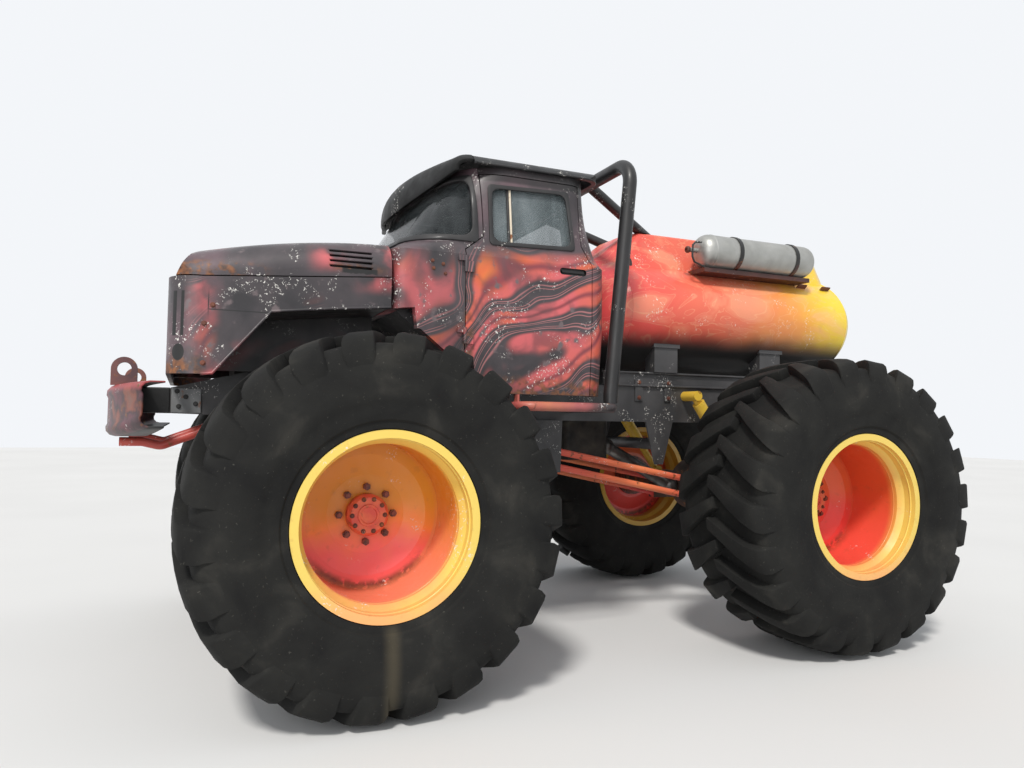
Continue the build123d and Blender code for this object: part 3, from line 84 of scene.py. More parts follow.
# Colours, as linear values
charcoal = (0.052, 0.043, 0.048)
soot = (0.020, 0.018, 0.021)
plum = (0.125, 0.076, 0.090)
rose = (0.66, 0.125, 0.135)
ember = (0.72, 0.13, 0.045)
amber = (0.85, 0.33, 0.035)
chalk = (0.72, 0.70, 0.66)
rust_dark = (0.045, 0.018, 0.010)
rust_light = (0.23, 0.085, 0.028)
# Near black, used mostly as painted shade in recesses, slots, holes and the bumper's channel
hollow_black = (0.004, 0.004, 0.004)


class Finish:
    """A procedural material, put together from the piece's own coordinates."""

    def __init__(self, name, roughness, metallic=0.0, coat=0.0, shine=0.5):
        self.material = bpy.data.materials.new(name)
        self.material.use_nodes = True
        self.tree = self.material.node_tree
        self.tree.nodes.clear()
        output = self.add("ShaderNodeOutputMaterial")
        self.shader = self.add("ShaderNodeBsdfPrincipled")
        self.join(self.shader.outputs[0], output.inputs[0])
        self.shader.inputs["Roughness"].default_value = roughness
        self.shader.inputs["Metallic"].default_value = metallic
        self.shader.inputs["Coat Weight"].default_value = coat
        self.shader.inputs["Coat Roughness"].default_value = 0.2
        self.shader.inputs["Specular IOR Level"].default_value = shine
        self.place = self.add("ShaderNodeTexCoord").outputs["Object"]
        axes = self.add("ShaderNodeSeparateXYZ")
        self.join(self.place, axes.inputs[0])
        self.x, self.y, self.z = axes.outputs

    def add(self, kind):
        return self.tree.nodes.new(kind)

    def join(self, source, target):
        self.tree.links.new(source, target)

    def put(self, value, socket):
        """Sets a socket to a number or a colour, or joins another socket to it."""
        if isinstance(value, bpy.types.NodeSocket):
            self.join(value, socket)
        elif isinstance(value, tuple) and len(value) == 3 and len(socket.default_value) == 4:
            socket.default_value = (*value, 1.0)
        else:
            socket.default_value = value

    def math(self, operation, *values):
        node = self.add("ShaderNodeMath")
        node.operation = operation
        for value, socket in zip(values, node.inputs):
            self.put(value, socket)
        return node.outputs[0]

    def both(self, first, *others):
        """The values multiplied, so 1 only where each of them is."""
        for other in others:
            first = self.math("MULTIPLY", first, other)
        return first

    def either(self, first, *others):
        """The largest of the values."""
        for other in others:
            first = self.math("MAXIMUM", first, other)
        return first

    def squared(self, value):
        return self.math("MULTIPLY", value, value)

    def rise(self, value, low, high):
        """0 below low, 1 above high and smooth between; low may be the larger one."""
        node = self.add("ShaderNodeMapRange")
        node.interpolation_type = "SMOOTHSTEP"
        self.put(value, node.inputs["Value"])
        node.inputs["From Min"].default_value = min(low, high)
        node.inputs["From Max"].default_value = max(low, high)
        if low > high:
            node.inputs["To Min"].default_value = 1.0
            node.inputs["To Max"].default_value = 0.0
        return node.outputs[0]

    def share(self, value, low, high):
        """0 at low, 1 at high and straight between."""
        node = self.add("ShaderNodeMapRange")
        self.put(value, node.inputs["Value"])
        node.inputs["From Min"].default_value = low
        node.inputs["From Max"].default_value = high
        return node.outputs[0]

    def near(self, value, middle, reach, full=0.0):
        """1 within full of the middle, falling to 0 at the reach to either side."""
        return self.rise(self.math("ABSOLUTE", self.math("SUBTRACT", value, middle)), reach, full)

    def outward(self):
        """The distance from the truck's centre plane."""
        return self.math("ABSOLUTE", self.x)

    def stretched(self, scale):
        node = self.add("ShaderNodeMapping")
        self.join(self.place, node.inputs["Vector"])
        node.inputs["Scale"].default_value = scale
        return node.outputs[0]

    def noise(self, size, detail=2.0, twist=0.0, at=None):
        node = self.add("ShaderNodeTexNoise")
        self.join(at or self.place, node.inputs["Vector"])
        node.inputs["Scale"].default_value = 1 / size
        node.inputs["Detail"].default_value = detail
        node.inputs["Distortion"].default_value = twist
        return node.outputs[0]

    def wandering(self, value, size, detail, width, twist=0.0):
        """The value pushed up and down by a noise, over a width in all."""
        drift = self.math("MULTIPLY_ADD", self.noise(size, detail, twist), width, -width / 2)
        return self.math("ADD", value, drift)

    def mix(self, amount, first, second):
        node = self.add("ShaderNodeMix")
        node.data_type = "RGBA"
        self.put(amount, node.inputs[0])
        self.put(first, node.inputs[6])
        self.put(second, node.inputs[7])
        return node.outputs[2]

    def ramp(self, value, stops):
        node = self.add("ShaderNodeValToRGB")
        elements = node.color_ramp.elements
        while len(elements) < len(stops):
            elements.new(0.5)
        for element, (place, colour) in zip(elements, stops):
            element.position = place
            element.color = (*colour, 1.0)
        self.put(value, node.inputs[0])
        return node.outputs[0]

    def blend(self, value, tones, low=0.3, high=0.7):
        """From the first tone at low to the second at high."""
        return self.ramp(value, ((low, tones[0]), (high, tones[1])))

    def uneven(self, size, detail, low, high):
        """A roughness that wanders between two values."""
        return self.blend(self.noise(size, detail), ((low,) * 3, (high,) * 3))

    def colour(self, value):
        self.put(value, self.shader.inputs["Base Color"])

    def rough(self, value):
        self.put(value, self.shader.inputs["Roughness"])

    def relief(self, height, depth):
        node = self.add("ShaderNodeBump")
        node.inputs["Strength"].default_value = 0.6
        node.inputs["Distance"].default_value = depth
        self.put(height, node.inputs["Height"])
        self.join(node.outputs[0], self.shader.inputs["Normal"])

    def chips(self, amount):
        """Small flakes off the paint, in loose clusters."""
        flakes = self.rise(self.noise(0.013, 4.0, 0.8), 0.60, 0.65)
        clusters = self.rise(self.noise(0.19, 4.0, 0.6), 0.62 - 0.14 * amount, 0.68 - 0.14 * amount)
        return self.both(flakes, clusters)

    def flaked(self, skin, amount, cover=0.9, bared=chalk):
        """The skin with flakes off it."""
        return self.mix(self.both(self.chips(amount), cover), skin, bared)

    def rust(self):
        return self.blend(self.noise(0.03, 6.0), (rust_dark, rust_light), 0.35, 0.65)

    def rusted(self, skin, amount, size=0.05):
        """The skin with rust breaking through in patches."""
        eaten = self.rise(self.noise(size, 7.0), 0.66 - 0.2 * amount, 0.76 - 0.2 * amount)
        return self.mix(eaten, skin, self.rust())


def body_paint(name, art, rust_zone, flaking, dark_zone=None, glow_zone=None):
    """Worn charcoal paint with soft red ribbons; art says how strong they are at each place."""
    finish = Finish(name, roughness=0.5, coat=0.15)
    haze = finish.noise(0.35, 4.0, 0.5)
    ground = finish.ramp(haze, ((0.3, soot), (0.5, charcoal), (0.72, plum)))
    if glow_zone:
        ground = finish.mix(finish.both(glow_zone(finish), 0.75), ground, rose)
    slant = finish.math("MULTIPLY_ADD", finish.z, -5.6, finish.math("MULTIPLY", finish.y, 3.4))
    sway = finish.both(finish.noise(0.55, 1.0, 0.3, finish.stretched((0.3, 1.0, 1.0))), 6.5)
    fold = finish.math("PINGPONG", finish.math("ADD", slant, sway), 1.0)
    heat = finish.ramp(
        finish.noise(0.45, 2.0, 0.4, finish.stretched((0.6, 1.0, 1.0))),
        ((0.44, rose), (0.62, ember), (0.80, amber)),
    )
    heart = finish.mix(finish.rise(fold, 0.78, 1.0), heat, (0.26, 0.045, 0.055))
    fade = finish.rise(finish.noise(0.16, 3.0, 0.5), 0.34, 0.58)
    glow = finish.both(finish.rise(fold, 0.40, 0.62), finish.math("MULTIPLY_ADD", fade, 0.55, 0.45))
    outline = finish.either(finish.near(fold, 0.29, 0.05), finish.near(fold, 0.16, 0.03))
    strength = art(finish)
    painted = finish.mix(finish.both(glow, strength, 0.9), ground, heart)
    painted = finish.mix(finish.both(outline, strength, 0.5), painted, (0.70, 0.26, 0.26))
    worn = finish.mix(finish.rise(finish.noise(0.07, 5.0), 0.60, 0.72), painted, (0.13, 0.10, 0.105))
    flakes = finish.chips(flaking)
    skin = finish.mix(finish.both(flakes, 0.9), worn, chalk)
    eaten = finish.both(rust_zone(finish), finish.rise(finish.noise(0.05, 6.0), 0.42, 0.56))
    skin = finish.mix(eaten, skin, finish.rust())
    # Near black where dark_zone says: mostly painted shade in recesses, slots and holes
    if dark_zone:
        skin = finish.mix(dark_zone(finish), skin, hollow_black)
    finish.colour(skin)
    finish.rough(finish.uneven(0.12, 5.0, 0.38, 0.68))
    finish.relief(finish.mix(flakes, finish.noise(0.05, 4.0), (0.0, 0.0, 0.0)), 0.0012)
    return finish.material


def door_art(finish):
    """Ribbons from the sill up to the window."""
    low = finish.both(finish.rise(finish.z, 2.42, 2.26), finish.rise(finish.z, 1.5, 1.62))
    return finish.both(low, finish.rise(finish.noise(0.6, 1.0), 0.24, 0.40))


def cowl_art(finish):
    """Ribbons that fade towards the windscreen."""
    strength = finish.both(finish.rise(finish.noise(0.35, 2.0), 0.34, 0.52), 0.7)
    return finish.both(finish.rise(finish.z, 2.36, 2.16), strength)


def fender_art(finish):
    """Ribbons along the nose seam, and a few weak ones elsewhere."""
    broken = finish.rise(finish.noise(0.3, 2.0), 0.40, 0.55)
    along_seam = finish.both(finish.near(finish.y, nose_seam_y - 0.005, 0.09), broken, 0.6)
    return finish.either(along_seam, finish.both(finish.rise(finish.noise(0.4, 2.0), 0.5, 0.66), 0.4))


def hood_art(finish):
    """A few weak ribbons."""
    return finish.both(finish.rise(finish.noise(0.45, 2.0), 0.52, 0.68), 0.4)


def fender_glow(finish):
    """Rose along the nose seam and the wheel opening's lower edge."""
    cloud = finish.rise(finish.noise(0.22, 3.0), 0.36, 0.62)
    seam = finish.near(finish.y, nose_seam_y, 0.10)
    diagonal = finish.math("MULTIPLY_ADD", finish.y, 0.85, finish.math("SUBTRACT", 3.41, finish.z))
    low_edge = finish.both(finish.near(diagonal, 0.0, 0.10), finish.rise(finish.z, 1.86, 1.72))
    rear = finish.both(finish.rise(finish.y, -1.50, -1.28), finish.rise(finish.z, 2.02, 2.10))
    return finish.both(finish.either(seam, low_edge, rear), cloud)


def hood_glow(finish):
    """Rose round the louvres, at the rear seam and along the crown."""
    cloud = finish.rise(finish.noise(0.18, 3.0), 0.40, 0.62)
    rear = finish.rise(finish.y, -1.34, -1.27)
    louvres = finish.both(finish.near(finish.y, -1.60, 0.12), finish.near(finish.z, 2.21, 0.10))
    crown = finish.both(finish.near(finish.z, 2.405, 0.05), finish.near(finish.y, -1.62, 0.30))
    return finish.both(finish.either(rear, louvres, crown), cloud)


def sill_rust(finish):
    """Rust along the sill and up the door's hinge edge."""
    sill = finish.rise(finish.z, 1.66, 1.56)
    hinge_edge = finish.both(finish.near(finish.y, door_front_y, 0.05), finish.rise(finish.z, 2.3, 1.7))
    return finish.both(finish.either(sill, hinge_edge), 0.85)


def hood_rust(finish):
    """Rust on the front of the lower seam, and round the louvres."""
    in_front = finish.rise(finish.y, front_axle_y - 0.45, front_axle_y - 0.65)
    seam = finish.both(finish.rise(finish.z, 2.16, 2.11), in_front)
    louvres = finish.both(
        finish.near(finish.y, front_axle_y - 0.06, 0.22),
        finish.near(finish.z, 2.165, 0.035),
        finish.rise(finish.outward(), 0.88, 0.92),
    )
    return finish.either(seam, louvres)


def nose_rust(finish):
    """Rust on the lower corner, in front of the seam."""
    return finish.both(finish.rise(finish.z, 1.72, 1.60), finish.rise(finish.y, -2.16, -2.22))


def door_darks(finish):
    """Painted shade in the handle's recess and in the latch's slot in the rear edge; the frame above the
    window darkened.
    """
    recess = finish.both(
        finish.near(finish.y, handle_y, 0.10, 0.095),
        finish.near(finish.z, handle_z, 0.03, 0.025),
        finish.rise(finish.outward(), 0.965, 0.9635),
    )
    slot = finish.both(
        finish.near(finish.y, latch_y, 0.012),
        finish.rise(finish.outward(), 0.80, 0.85),
        finish.near(finish.z, latch_z, 0.068, 0.062),
    )
    top = finish.both(finish.rise(finish.z, door_window_top, door_window_top + 0.02), 0.75)
    return finish.either(recess, slot, top)


def hood_darks(finish):
    """A rusted-through patch under the left louvres, painted near black as the shade inside it."""
    height = finish.wandering(finish.z, 0.05, 4.0, 0.05)
    return finish.both(
        finish.near(finish.y, hood_patch_y, 0.10, 0.085),
        finish.near(height, hood_patch_z, 0.017, 0.010),
        finish.rise(finish.x, 0.9, 0.92),
    )


def fender_darks(finish):
    """The nose panel's pressed seams as dark lines; painted shade in its slots and round hole, and on the
    shaded inner faces.
    """
    reach = finish.outward()
    inside = finish.both(finish.rise(reach, 0.955, 0.940), finish.rise(finish.y, -2.24, -2.18), 0.85)
    upright = finish.both(finish.near(finish.y, nose_upright_y, 0.005), finish.near(finish.z, 1.93, 0.09))
    level = finish.both(
        finish.near(finish.z, nose_level_z, 0.005),
        finish.rise(finish.y, -1.84, -1.86),
        finish.rise(finish.y, -2.17, -2.16),
    )
    pressed = finish.both(finish.either(upright, level), finish.rise(reach, 0.95, 0.96))
    wide = finish.math("DIVIDE", finish.math("SUBTRACT", finish.y, lamp_hole_y), 0.026)
    high = finish.math("DIVIDE", finish.math("SUBTRACT", finish.z, lamp_hole_z), 0.040)
    lamp_hole = finish.rise(finish.math("ADD", finish.squared(wide), finish.squared(high)), 1.1, 0.95)
    rear_slot = finish.near(finish.y, nose_slots_y[0], 0.008, 0.006)
    front_slot = finish.near(finish.y, nose_slots_y[1], 0.009, 0.007)
    slot_height = finish.near(finish.z, nose_slots_z, 0.112, 0.106)
    slots = finish.both(finish.either(rear_slot, front_slot), slot_height)
    openings = finish.both(finish.either(lamp_hole, slots), finish.rise(reach, 0.84, 0.86))
    return finish.either(pressed, openings, inside)


def plain_paint(name, tones, flaking=0.35, roughness=0.5, rusty=0.0, shine=0.5):
    """A single worn paint in a few tones, with flakes and some rust."""
    finish = Finish(name, roughness=roughness, coat=0.1, shine=shine)
    stops = [(0.3 + 0.4 * index / (len(tones) - 1), tone) for index, tone in enumerate(tones)]
    skin = finish.flaked(finish.ramp(finish.noise(0.25, 5.0, 0.3), stops), flaking)
    if rusty:
        skin = finish.rusted(skin, rusty, 0.06)
    finish.colour(skin)
    finish.rough(finish.uneven(0.1, 4.0, roughness - 0.12, roughness + 0.14))
    finish.relief(finish.noise(0.035, 5.0), 0.001)
    return finish.material


def faded_paint(name, tones, axis, low, high, flaking=0.4, rusty=0.2):
    """A worn paint that changes tone along one axis."""
    finish = Finish(name, roughness=0.48, coat=0.1)
    along = finish.share(finish.wandering(getattr(finish, axis), 0.12, 4.0, 0.3), low, high)
    skin = finish.ramp(along, [(index / (len(tones) - 1), tone) for index, tone in enumerate(tones)])
    finish.colour(finish.rusted(finish.flaked(skin, flaking), rusty))
    finish.relief(finish.noise(0.03, 5.0), 0.0008)
    return finish.material


def tank_paint():
    """Rose at the front, through salmon, to yellow at the rear, with painted shade over the lower half and
    near-black painted shade underneath.
    """
    finish = Finish("tank_paint", roughness=0.42, coat=0.12)
    skin = finish.ramp(
        finish.share(finish.wandering(finish.y, 0.6, 3.0, 0.9, 0.8), 0.15, 2.7),
        (
            (0.0, (0.66, 0.055, 0.085)),
            (0.22, (0.78, 0.10, 0.075)),
            (0.5, (0.80, 0.19, 0.10)),
            (0.68, (0.84, 0.33, 0.07)),
            (0.80, (0.86, 0.56, 0.03)),
            (0.90, (0.80, 0.62, 0.05)),
            (1.0, (0.56, 0.57, 0.16)),
        ),
    )
    cloud = finish.noise(0.32, 3.0, 1.2, finish.stretched((1.0, 0.55, 1.3)))
    skin = finish.mix(finish.both(finish.rise(cloud, 0.46, 0.66), 0.45), skin, (0.90, 0.42, 0.24))
    veil = finish.near(finish.math("PINGPONG", finish.both(cloud, 9.0), 1.0), 0.5, 0.1)
    skin = finish.mix(finish.both(veil, 0.22), skin, (0.92, 0.60, 0.34))
    # Painted shade: the tank darkened below its axis, most towards the bottom, with a wandering edge
    height = finish.math("ADD", finish.z, finish.both(finish.noise(0.4, 2.0), 0.22))
    skin = finish.mix(finish.rise(height, 2.15, 1.94), skin, (0.020, 0.012, 0.010))
    skin = finish.flaked(skin, 0.42, 0.8, (0.86, 0.80, 0.70))
    dust = finish.rise(finish.noise(0.11, 6.0), 0.58, 0.75)
    skin = finish.mix(finish.both(dust, 0.22), skin, (0.45, 0.26, 0.18))
    # Painted shade: near black under the belly, and rough there
    under = finish.rise(finish.z, tank_belly_shade_top, tank_belly_shade_top - 0.14)
    skin = finish.mix(under, skin, (0.006, 0.005, 0.005))
    filler = finish.both(finish.near(finish.y, filler_y, 0.022), finish.near(finish.z, filler_z, 0.04))
    filler = finish.both(finish.rise(filler, 0.05, 0.2), finish.rise(finish.x, 0.30, 0.33))
    finish.colour(finish.mix(filler, skin, (0.02, 0.008, 0.008)))
    finish.rough(finish.mix(under, finish.uneven(0.09, 5.0, 0.30, 0.58), (0.9, 0.9, 0.9)))
    finish.relief(finish.noise(0.25, 3.0), 0.004)
    return finish.material


def hub_distance(finish, axle_y):
    """How far a place is from a wheel's axis."""
    along = finish.math("SUBTRACT", finish.y, axle_y)
    above = finish.math("SUBTRACT", finish.z, hub_z)
    return finish.math("SQRT", finish.math("ADD", finish.squared(along), finish.squared(above)))


def rim_paint(name, disc_tones, barrel_tones, axle_y):
    """Yellow lip; barrel and disc darker towards their tops as painted shade, the disc's tones running from
    its bottom to its top; the inner face a yellow darkened as painted shade.
    """
    finish = Finish(name, roughness=0.4, coat=0.3)
    reach = finish.outward()
    radial = hub_distance(finish, axle_y)
    height = finish.wandering(finish.z, 0.22, 3.0, 0.3)
    disc = finish.ramp(finish.rise(height, 0.64, 1.02), list(zip((0.0, 0.5, 1.0), disc_tones)))
    lip = finish.mix(finish.rise(height, 0.45, 0.72), (0.84, 0.40, 0.14), (0.76, 0.55, 0.11))
    barrel = finish.mix(finish.rise(height, 0.60, 1.05), barrel_tones[0], barrel_tones[1])
    skin = finish.mix(finish.rise(radial, disc_radius - 0.005, disc_radius + 0.010), disc, barrel)
    skin = finish.mix(finish.rise(reach, lip_x, lip_x + 0.12), skin, lip)
    # The inner face: the rim's own yellow, darkened as painted shade
    skin = finish.mix(finish.rise(reach, disc_x - 0.015, disc_x - 0.025), skin, (0.52, 0.30, 0.03))
    low_corner = finish.both(
        finish.near(reach, disc_x + 0.02, 0.09),
        finish.near(radial, disc_radius, 0.035),
        finish.rise(finish.z, 0.74, 0.60),
    )
    weld = finish.both(finish.near(radial, disc_radius + 0.016, 0.006), finish.near(reach, disc_x, 0.03))
    broken = finish.rise(finish.noise(0.04, 5.0), 0.36, 0.50)
    skin = finish.mix(finish.both(finish.either(low_corner, weld), broken, 0.9), skin, finish.rust())
    grime = finish.rise(finish.noise(0.05, 6.0), 0.60, 0.72)
    skin = finish.mix(finish.both(grime, 0.16), skin, (0.26, 0.11, 0.04))
    finish.colour(finish.flaked(skin, 0.25, 0.8))
    finish.rough(finish.uneven(0.06, 4.0, 0.32, 0.55))
    finish.relief(finish.noise(0.03, 4.0), 0.0006)
    return finish.material


def hub_paint(name, axle_y):
    """Rose on the cap, rusty dark on the nuts round it."""
    finish = Finish(name, roughness=0.5, coat=0.1)
    cap = finish.blend(finish.noise(0.05, 5.0), ((0.62, 0.085, 0.06), (0.70, 0.15, 0.07)), 0.35, 0.6)
    nuts = finish.blend(finish.noise(0.02, 4.0), ((0.05, 0.016, 0.012), (0.22, 0.05, 0.03)), 0.35, 0.6)
    off_cap = finish.rise(hub_distance(finish, axle_y), cap_radius, cap_radius + 0.006)
    skin = finish.mix(off_cap, cap, nuts)
    worn = finish.rise(finish.noise(0.03, 6.0), 0.60, 0.70)
    finish.colour(finish.mix(finish.both(worn, 0.6), skin, finish.rust()))
    finish.relief(finish.noise(0.015, 4.0), 0.0008)
    return finish.material


def tyre_rubber():
    """Dusty rubber, scuffed, with a brown stain down the front tyres."""
    finish = Finish("tyre_rubber", roughness=0.85, shine=0.25)
    skin = finish.ramp(
        finish.noise(0.22, 6.0, 0.4),
        ((0.32, (0.006, 0.006, 0.006)), (0.58, (0.013, 0.013, 0.012)), (0.78, (0.034, 0.032, 0.028))),
    )
    scuffs = finish.rise(finish.noise(0.012, 4.0, 0.8), 0.66, 0.74)
    skin = finish.mix(finish.both(scuffs, 0.35), skin, (0.12, 0.115, 0.10))
    stain = finish.both(
        finish.near(finish.y, front_axle_y + 0.02, 0.055), finish.rise(finish.z, 0.50, 0.42), 0.35
    )
    finish.colour(finish.mix(stain, skin, (0.12, 0.10, 0.065)))
    finish.relief(finish.noise(0.02, 6.0), 0.002)
    return finish.material


def metal(name, tones, roughness, metallic=1.0):
    """Bare metal, dull and bright in patches."""
    finish = Finish(name, roughness=roughness, metallic=metallic)
    finish.colour(finish.blend(finish.noise(0.12, 6.0, 0.3), tones, 0.32, 0.68))
    finish.rough(finish.uneven(0.05, 5.0, roughness - 0.1, roughness + 0.16))
    finish.relief(finish.noise(0.01, 4.0), 0.0004)
    return finish.material


def window_glass(name, tones, cover):
    """Dusty glass, streaked from top to bottom."""
    finish = Finish(name, roughness=0.03)
    film = finish.noise(0.10, 4.0, 0.6, finish.stretched((1.0, 1.0, 0.22)))
    finish.colour(finish.blend(film, tones))
    finish.shader.inputs["Alpha"].default_value = cover
    finish.shader.inputs["IOR"].default_value = 1.5
    return finish.material


def padding(name, tones):
    """Grained vinyl or plastic in two tones."""
    finish = Finish(name, roughness=0.7)
    creases = finish.noise(0.03, 5.0, 0.5)
    finish.colour(finish.blend(creases, tones))
    finish.relief(creases, 0.002)
    return finish.material


def bumper_paint():
    """Faded red and purple outside; inside the channel, near black as painted shade."""
    finish = Finish("bumper_paint", roughness=0.5, coat=0.1)
    skin = finish.ramp(
        finish.noise(0.16, 5.0, 0.3),
        (
            (0.30, (0.17, 0.032, 0.042)),
            (0.42, (0.10, 0.034, 0.046)),
            (0.52, (0.04, 0.022, 0.026)),
            (0.62, (0.20, 0.060, 0.038)),
            (0.74, (0.16, 0.095, 0.080)),
        ),
    )
    skin = finish.mix(finish.both(finish.rise(finish.z, 1.49, 1.53), 0.7), skin, (0.40, 0.05, 0.05))
    skin = finish.flaked(finish.rusted(skin, 0.3), 0.4, 0.8)
    share = finish.math("DIVIDE", finish.outward(), bumper_half)
    swept = finish.math("POWER", share, bumper_bend)
    face = finish.math("MULTIPLY_ADD", swept, bumper_sweep, bumper_front_y)
    behind = finish.math("SUBTRACT", finish.y, face)
    # Painted shade: near black inside the channel, behind its face and under its top edge
    inner = finish.both(finish.rise(behind, 0.035, 0.05), finish.rise(finish.z, 1.545, 1.535))
    finish.colour(finish.mix(inner, skin, hollow_black))
    finish.relief(finish.noise(0.05, 5.0), 0.003)
    return finish.material


cab_finish = body_paint("cab_paint", door_art, sill_rust, 0.55, door_darks)
cowl_finish = body_paint("cowl_paint", cowl_art, sill_rust, 0.6)
hood_finish = body_paint("hood_paint", hood_art, hood_rust, 0.45, hood_darks, hood_glow)
fender_finish = body_paint("fender_paint", fender_art, nose_rust, 0.75, fender_darks, fender_glow)
roof_finish = plain_paint(
    "roof_paint", ((0.007, 0.007, 0.008), (0.015, 0.015, 0.016), (0.034, 0.033, 0.034))
)
# The roof's black paint, made darker for the visor as painted shade
visor_shaded_finish = plain_paint(
    "visor_paint_shaded", ((0.003, 0.003, 0.003), (0.007, 0.007, 0.007)), 0.3, 0.62, shine=0.25
)
hoop_finish = plain_paint("hoop_paint", ((0.006, 0.006, 0.006), (0.014, 0.013, 0.014)), 0.25, 0.46)
frame_finish = plain_paint("frame_paint", ((0.030, 0.030, 0.032), (0.072, 0.070, 0.072)), 0.5)
bumper_finish = bumper_paint()
eye_finish = plain_paint(
    "tow_eye_paint", ((0.07, 0.030, 0.034), (0.17, 0.06, 0.05), (0.26, 0.10, 0.07)), 0.2, 0.6, 0.4
)
plate_finish = plain_paint("grey_plate", ((0.10, 0.105, 0.11), (0.22, 0.225, 0.23)), 0.4, 0.5, 0.15)
red_finish = plain_paint("red_paint", ((0.42, 0.05, 0.04), (0.62, 0.10, 0.07)), 0.4, 0.45, 0.15)
rod_finish = faded_paint(
    "radius_rod_paint",
    ((0.66, 0.06, 0.07), (0.72, 0.10, 0.06), (0.80, 0.22, 0.09), (0.70, 0.07, 0.06)),
    "y", -0.5, 1.2,
)
step_finish = faded_paint(
    "step_bar_paint",
    ((0.46, 0.10, 0.09), (0.50, 0.16, 0.09), (0.34, 0.09, 0.09), (0.035, 0.028, 0.030)),
    "y", -0.55, -0.02,
)
strapped_finish = faded_paint(
    "cradle_and_straps",
    ((0.055, 0.016, 0.012), (0.08, 0.022, 0.015), (0.02, 0.018, 0.018), (0.010, 0.010, 0.010)),
    "z", 2.44, 2.60, 0.1, 0.5,
)
yellow_finish = plain_paint("yellow_paint", ((0.62, 0.36, 0.03), (0.78, 0.52, 0.06)), 0.3, 0.45, 0.2)
axle_finish = plain_paint("axle_paint", ((0.035, 0.028, 0.026), (0.10, 0.05, 0.035)), 0.1, 0.65, 0.6)
strap_finish = plain_paint("strap_rubber", ((0.012, 0.012, 0.012), (0.03, 0.03, 0.03)), 0.05, 0.6)
trim_finish = plain_paint("window_rubber", ((0.010, 0.010, 0.011), (0.028, 0.027, 0.028)), 0.3, 0.6)
divider_finish = plain_paint("vent_divider", ((0.60, 0.50, 0.38), (0.70, 0.64, 0.52)), 0.1, 0.5, 0.6)
nut_finish = plain_paint("rusty_bolts", ((0.07, 0.022, 0.015), (0.20, 0.06, 0.03)), 0.1, 0.6, 0.5)
tank_finish = tank_paint()
# Each rim's top tones of disc and barrel are darkened as painted shade
front_rim_finish = rim_paint(
    "front_rim_paint",
    ((0.88, 0.125, 0.13), (0.88, 0.25, 0.035), (0.66, 0.27, 0.008)),
    ((0.84, 0.24, 0.13), (0.66, 0.25, 0.02)),
    front_axle_y,
)
rear_rim_finish = rim_paint(
    "rear_rim_paint",
    ((0.82, 0.065, 0.055), (0.76, 0.075, 0.055), (0.70, 0.13, 0.04)),
    ((0.80, 0.085, 0.055), (0.66, 0.10, 0.03)),
    rear_axle_y,
)
front_hub_finish = hub_paint("front_hub_paint", front_axle_y)
rear_hub_finish = hub_paint("rear_hub_paint", rear_axle_y)
rubber_finish = tyre_rubber()
cylinder_finish = metal("cylinder_metal", ((0.34, 0.34, 0.32), (0.44, 0.44, 0.42)), 0.42, 0.7)
steel_finish = metal("worn_steel", ((0.08, 0.075, 0.07), (0.26, 0.25, 0.24)), 0.45)
iron_finish = metal("engine_iron", ((0.02, 0.02, 0.02), (0.07, 0.06, 0.05)), 0.65, 0.4)
screen_finish = window_glass("windscreen_glass", ((0.012, 0.016, 0.018), (0.07, 0.08, 0.085)), 0.36)
glass_finish = window_glass("door_glass", ((0.11, 0.14, 0.15), (0.28, 0.33, 0.35)), 0.38)
vinyl_finish = padding("seat_vinyl", ((0.012, 0.012, 0.013), (0.04, 0.037, 0.036)))
plastic_finish = padding("cab_plastic", ((0.014, 0.014, 0.014), (0.03, 0.029, 0.028)))

node_finishes = {
    cab_finish: ("door_left", "door_right", "cab_rear_wall"),
    cowl_finish: ("cowl",),
    hood_finish: ("hood",),
    fender_finish: ("fender_left", "fender_right", "grille_panel"),
    roof_finish: ("cab_roof", "visor"),
    hoop_finish: ("roll_hoop",),
    frame_finish: (
        "frame_rails", "crossmembers", "subframe_beams", "v_hangers", "rod_hangers", "tank_saddles",
        "cab_floor",
    ),
    bumper_finish: ("front_bumper",),
    eye_finish: ("tow_eyes",),
    red_finish: ("bumper_braces",),
    rod_finish: ("radius_rods",),
    step_finish: ("step_bars",),
    yellow_finish: ("shock_absorbers",),
    axle_finish: ("front_axle", "rear_axle"),
    strapped_finish: ("cylinder_cradle",),
    tank_finish: ("tank", "tank_spine"),
    front_rim_finish: ("rim_front_left", "rim_front_right"),
    rear_rim_finish: ("rim_rear_left", "rim_rear_right"),
    front_hub_finish: ("hub_front_left", "hub_front_right"),
    rear_hub_finish: ("hub_rear_left", "hub_rear_right"),
    rubber_finish: ("tyre_front_left", "tyre_front_right", "tyre_rear_left", "tyre_rear_right"),
    cylinder_finish: ("gas_cylinder",),
    steel_finish: ("propshafts", "knuckle_left", "knuckle_right", "tie_rod"),
    iron_finish: ("engine_block", "gearbox"),
    screen_finish: ("windscreen", "rear_window"),
    glass_finish: ("door_glass_left", "door_glass_right"),
    vinyl_finish: ("seat",),
    plastic_finish: ("dashboard", "steering_wheel"),
}


# Modelling helpers
def paint(piece, finish):
    """Gives the whole piece one finish."""
    piece.data.materials.clear()
    piece.data.materials.append(finish)


def mode(name):
    bpy.ops.object.mode_set(mode=name)


def pick_all():
    bpy.ops.mesh.select_all(action="SELECT")


def pick_none():
    bpy.ops.mesh.select_all(action="DESELECT")


def only(pieces):
    """Selects these pieces and nothing else, with the first one active."""
    bpy.ops.object.select_all(action="DESELECT")
    for piece in pieces:
        piece.select_set(True)
    bpy.context.view_layer.objects.active = pieces[0]


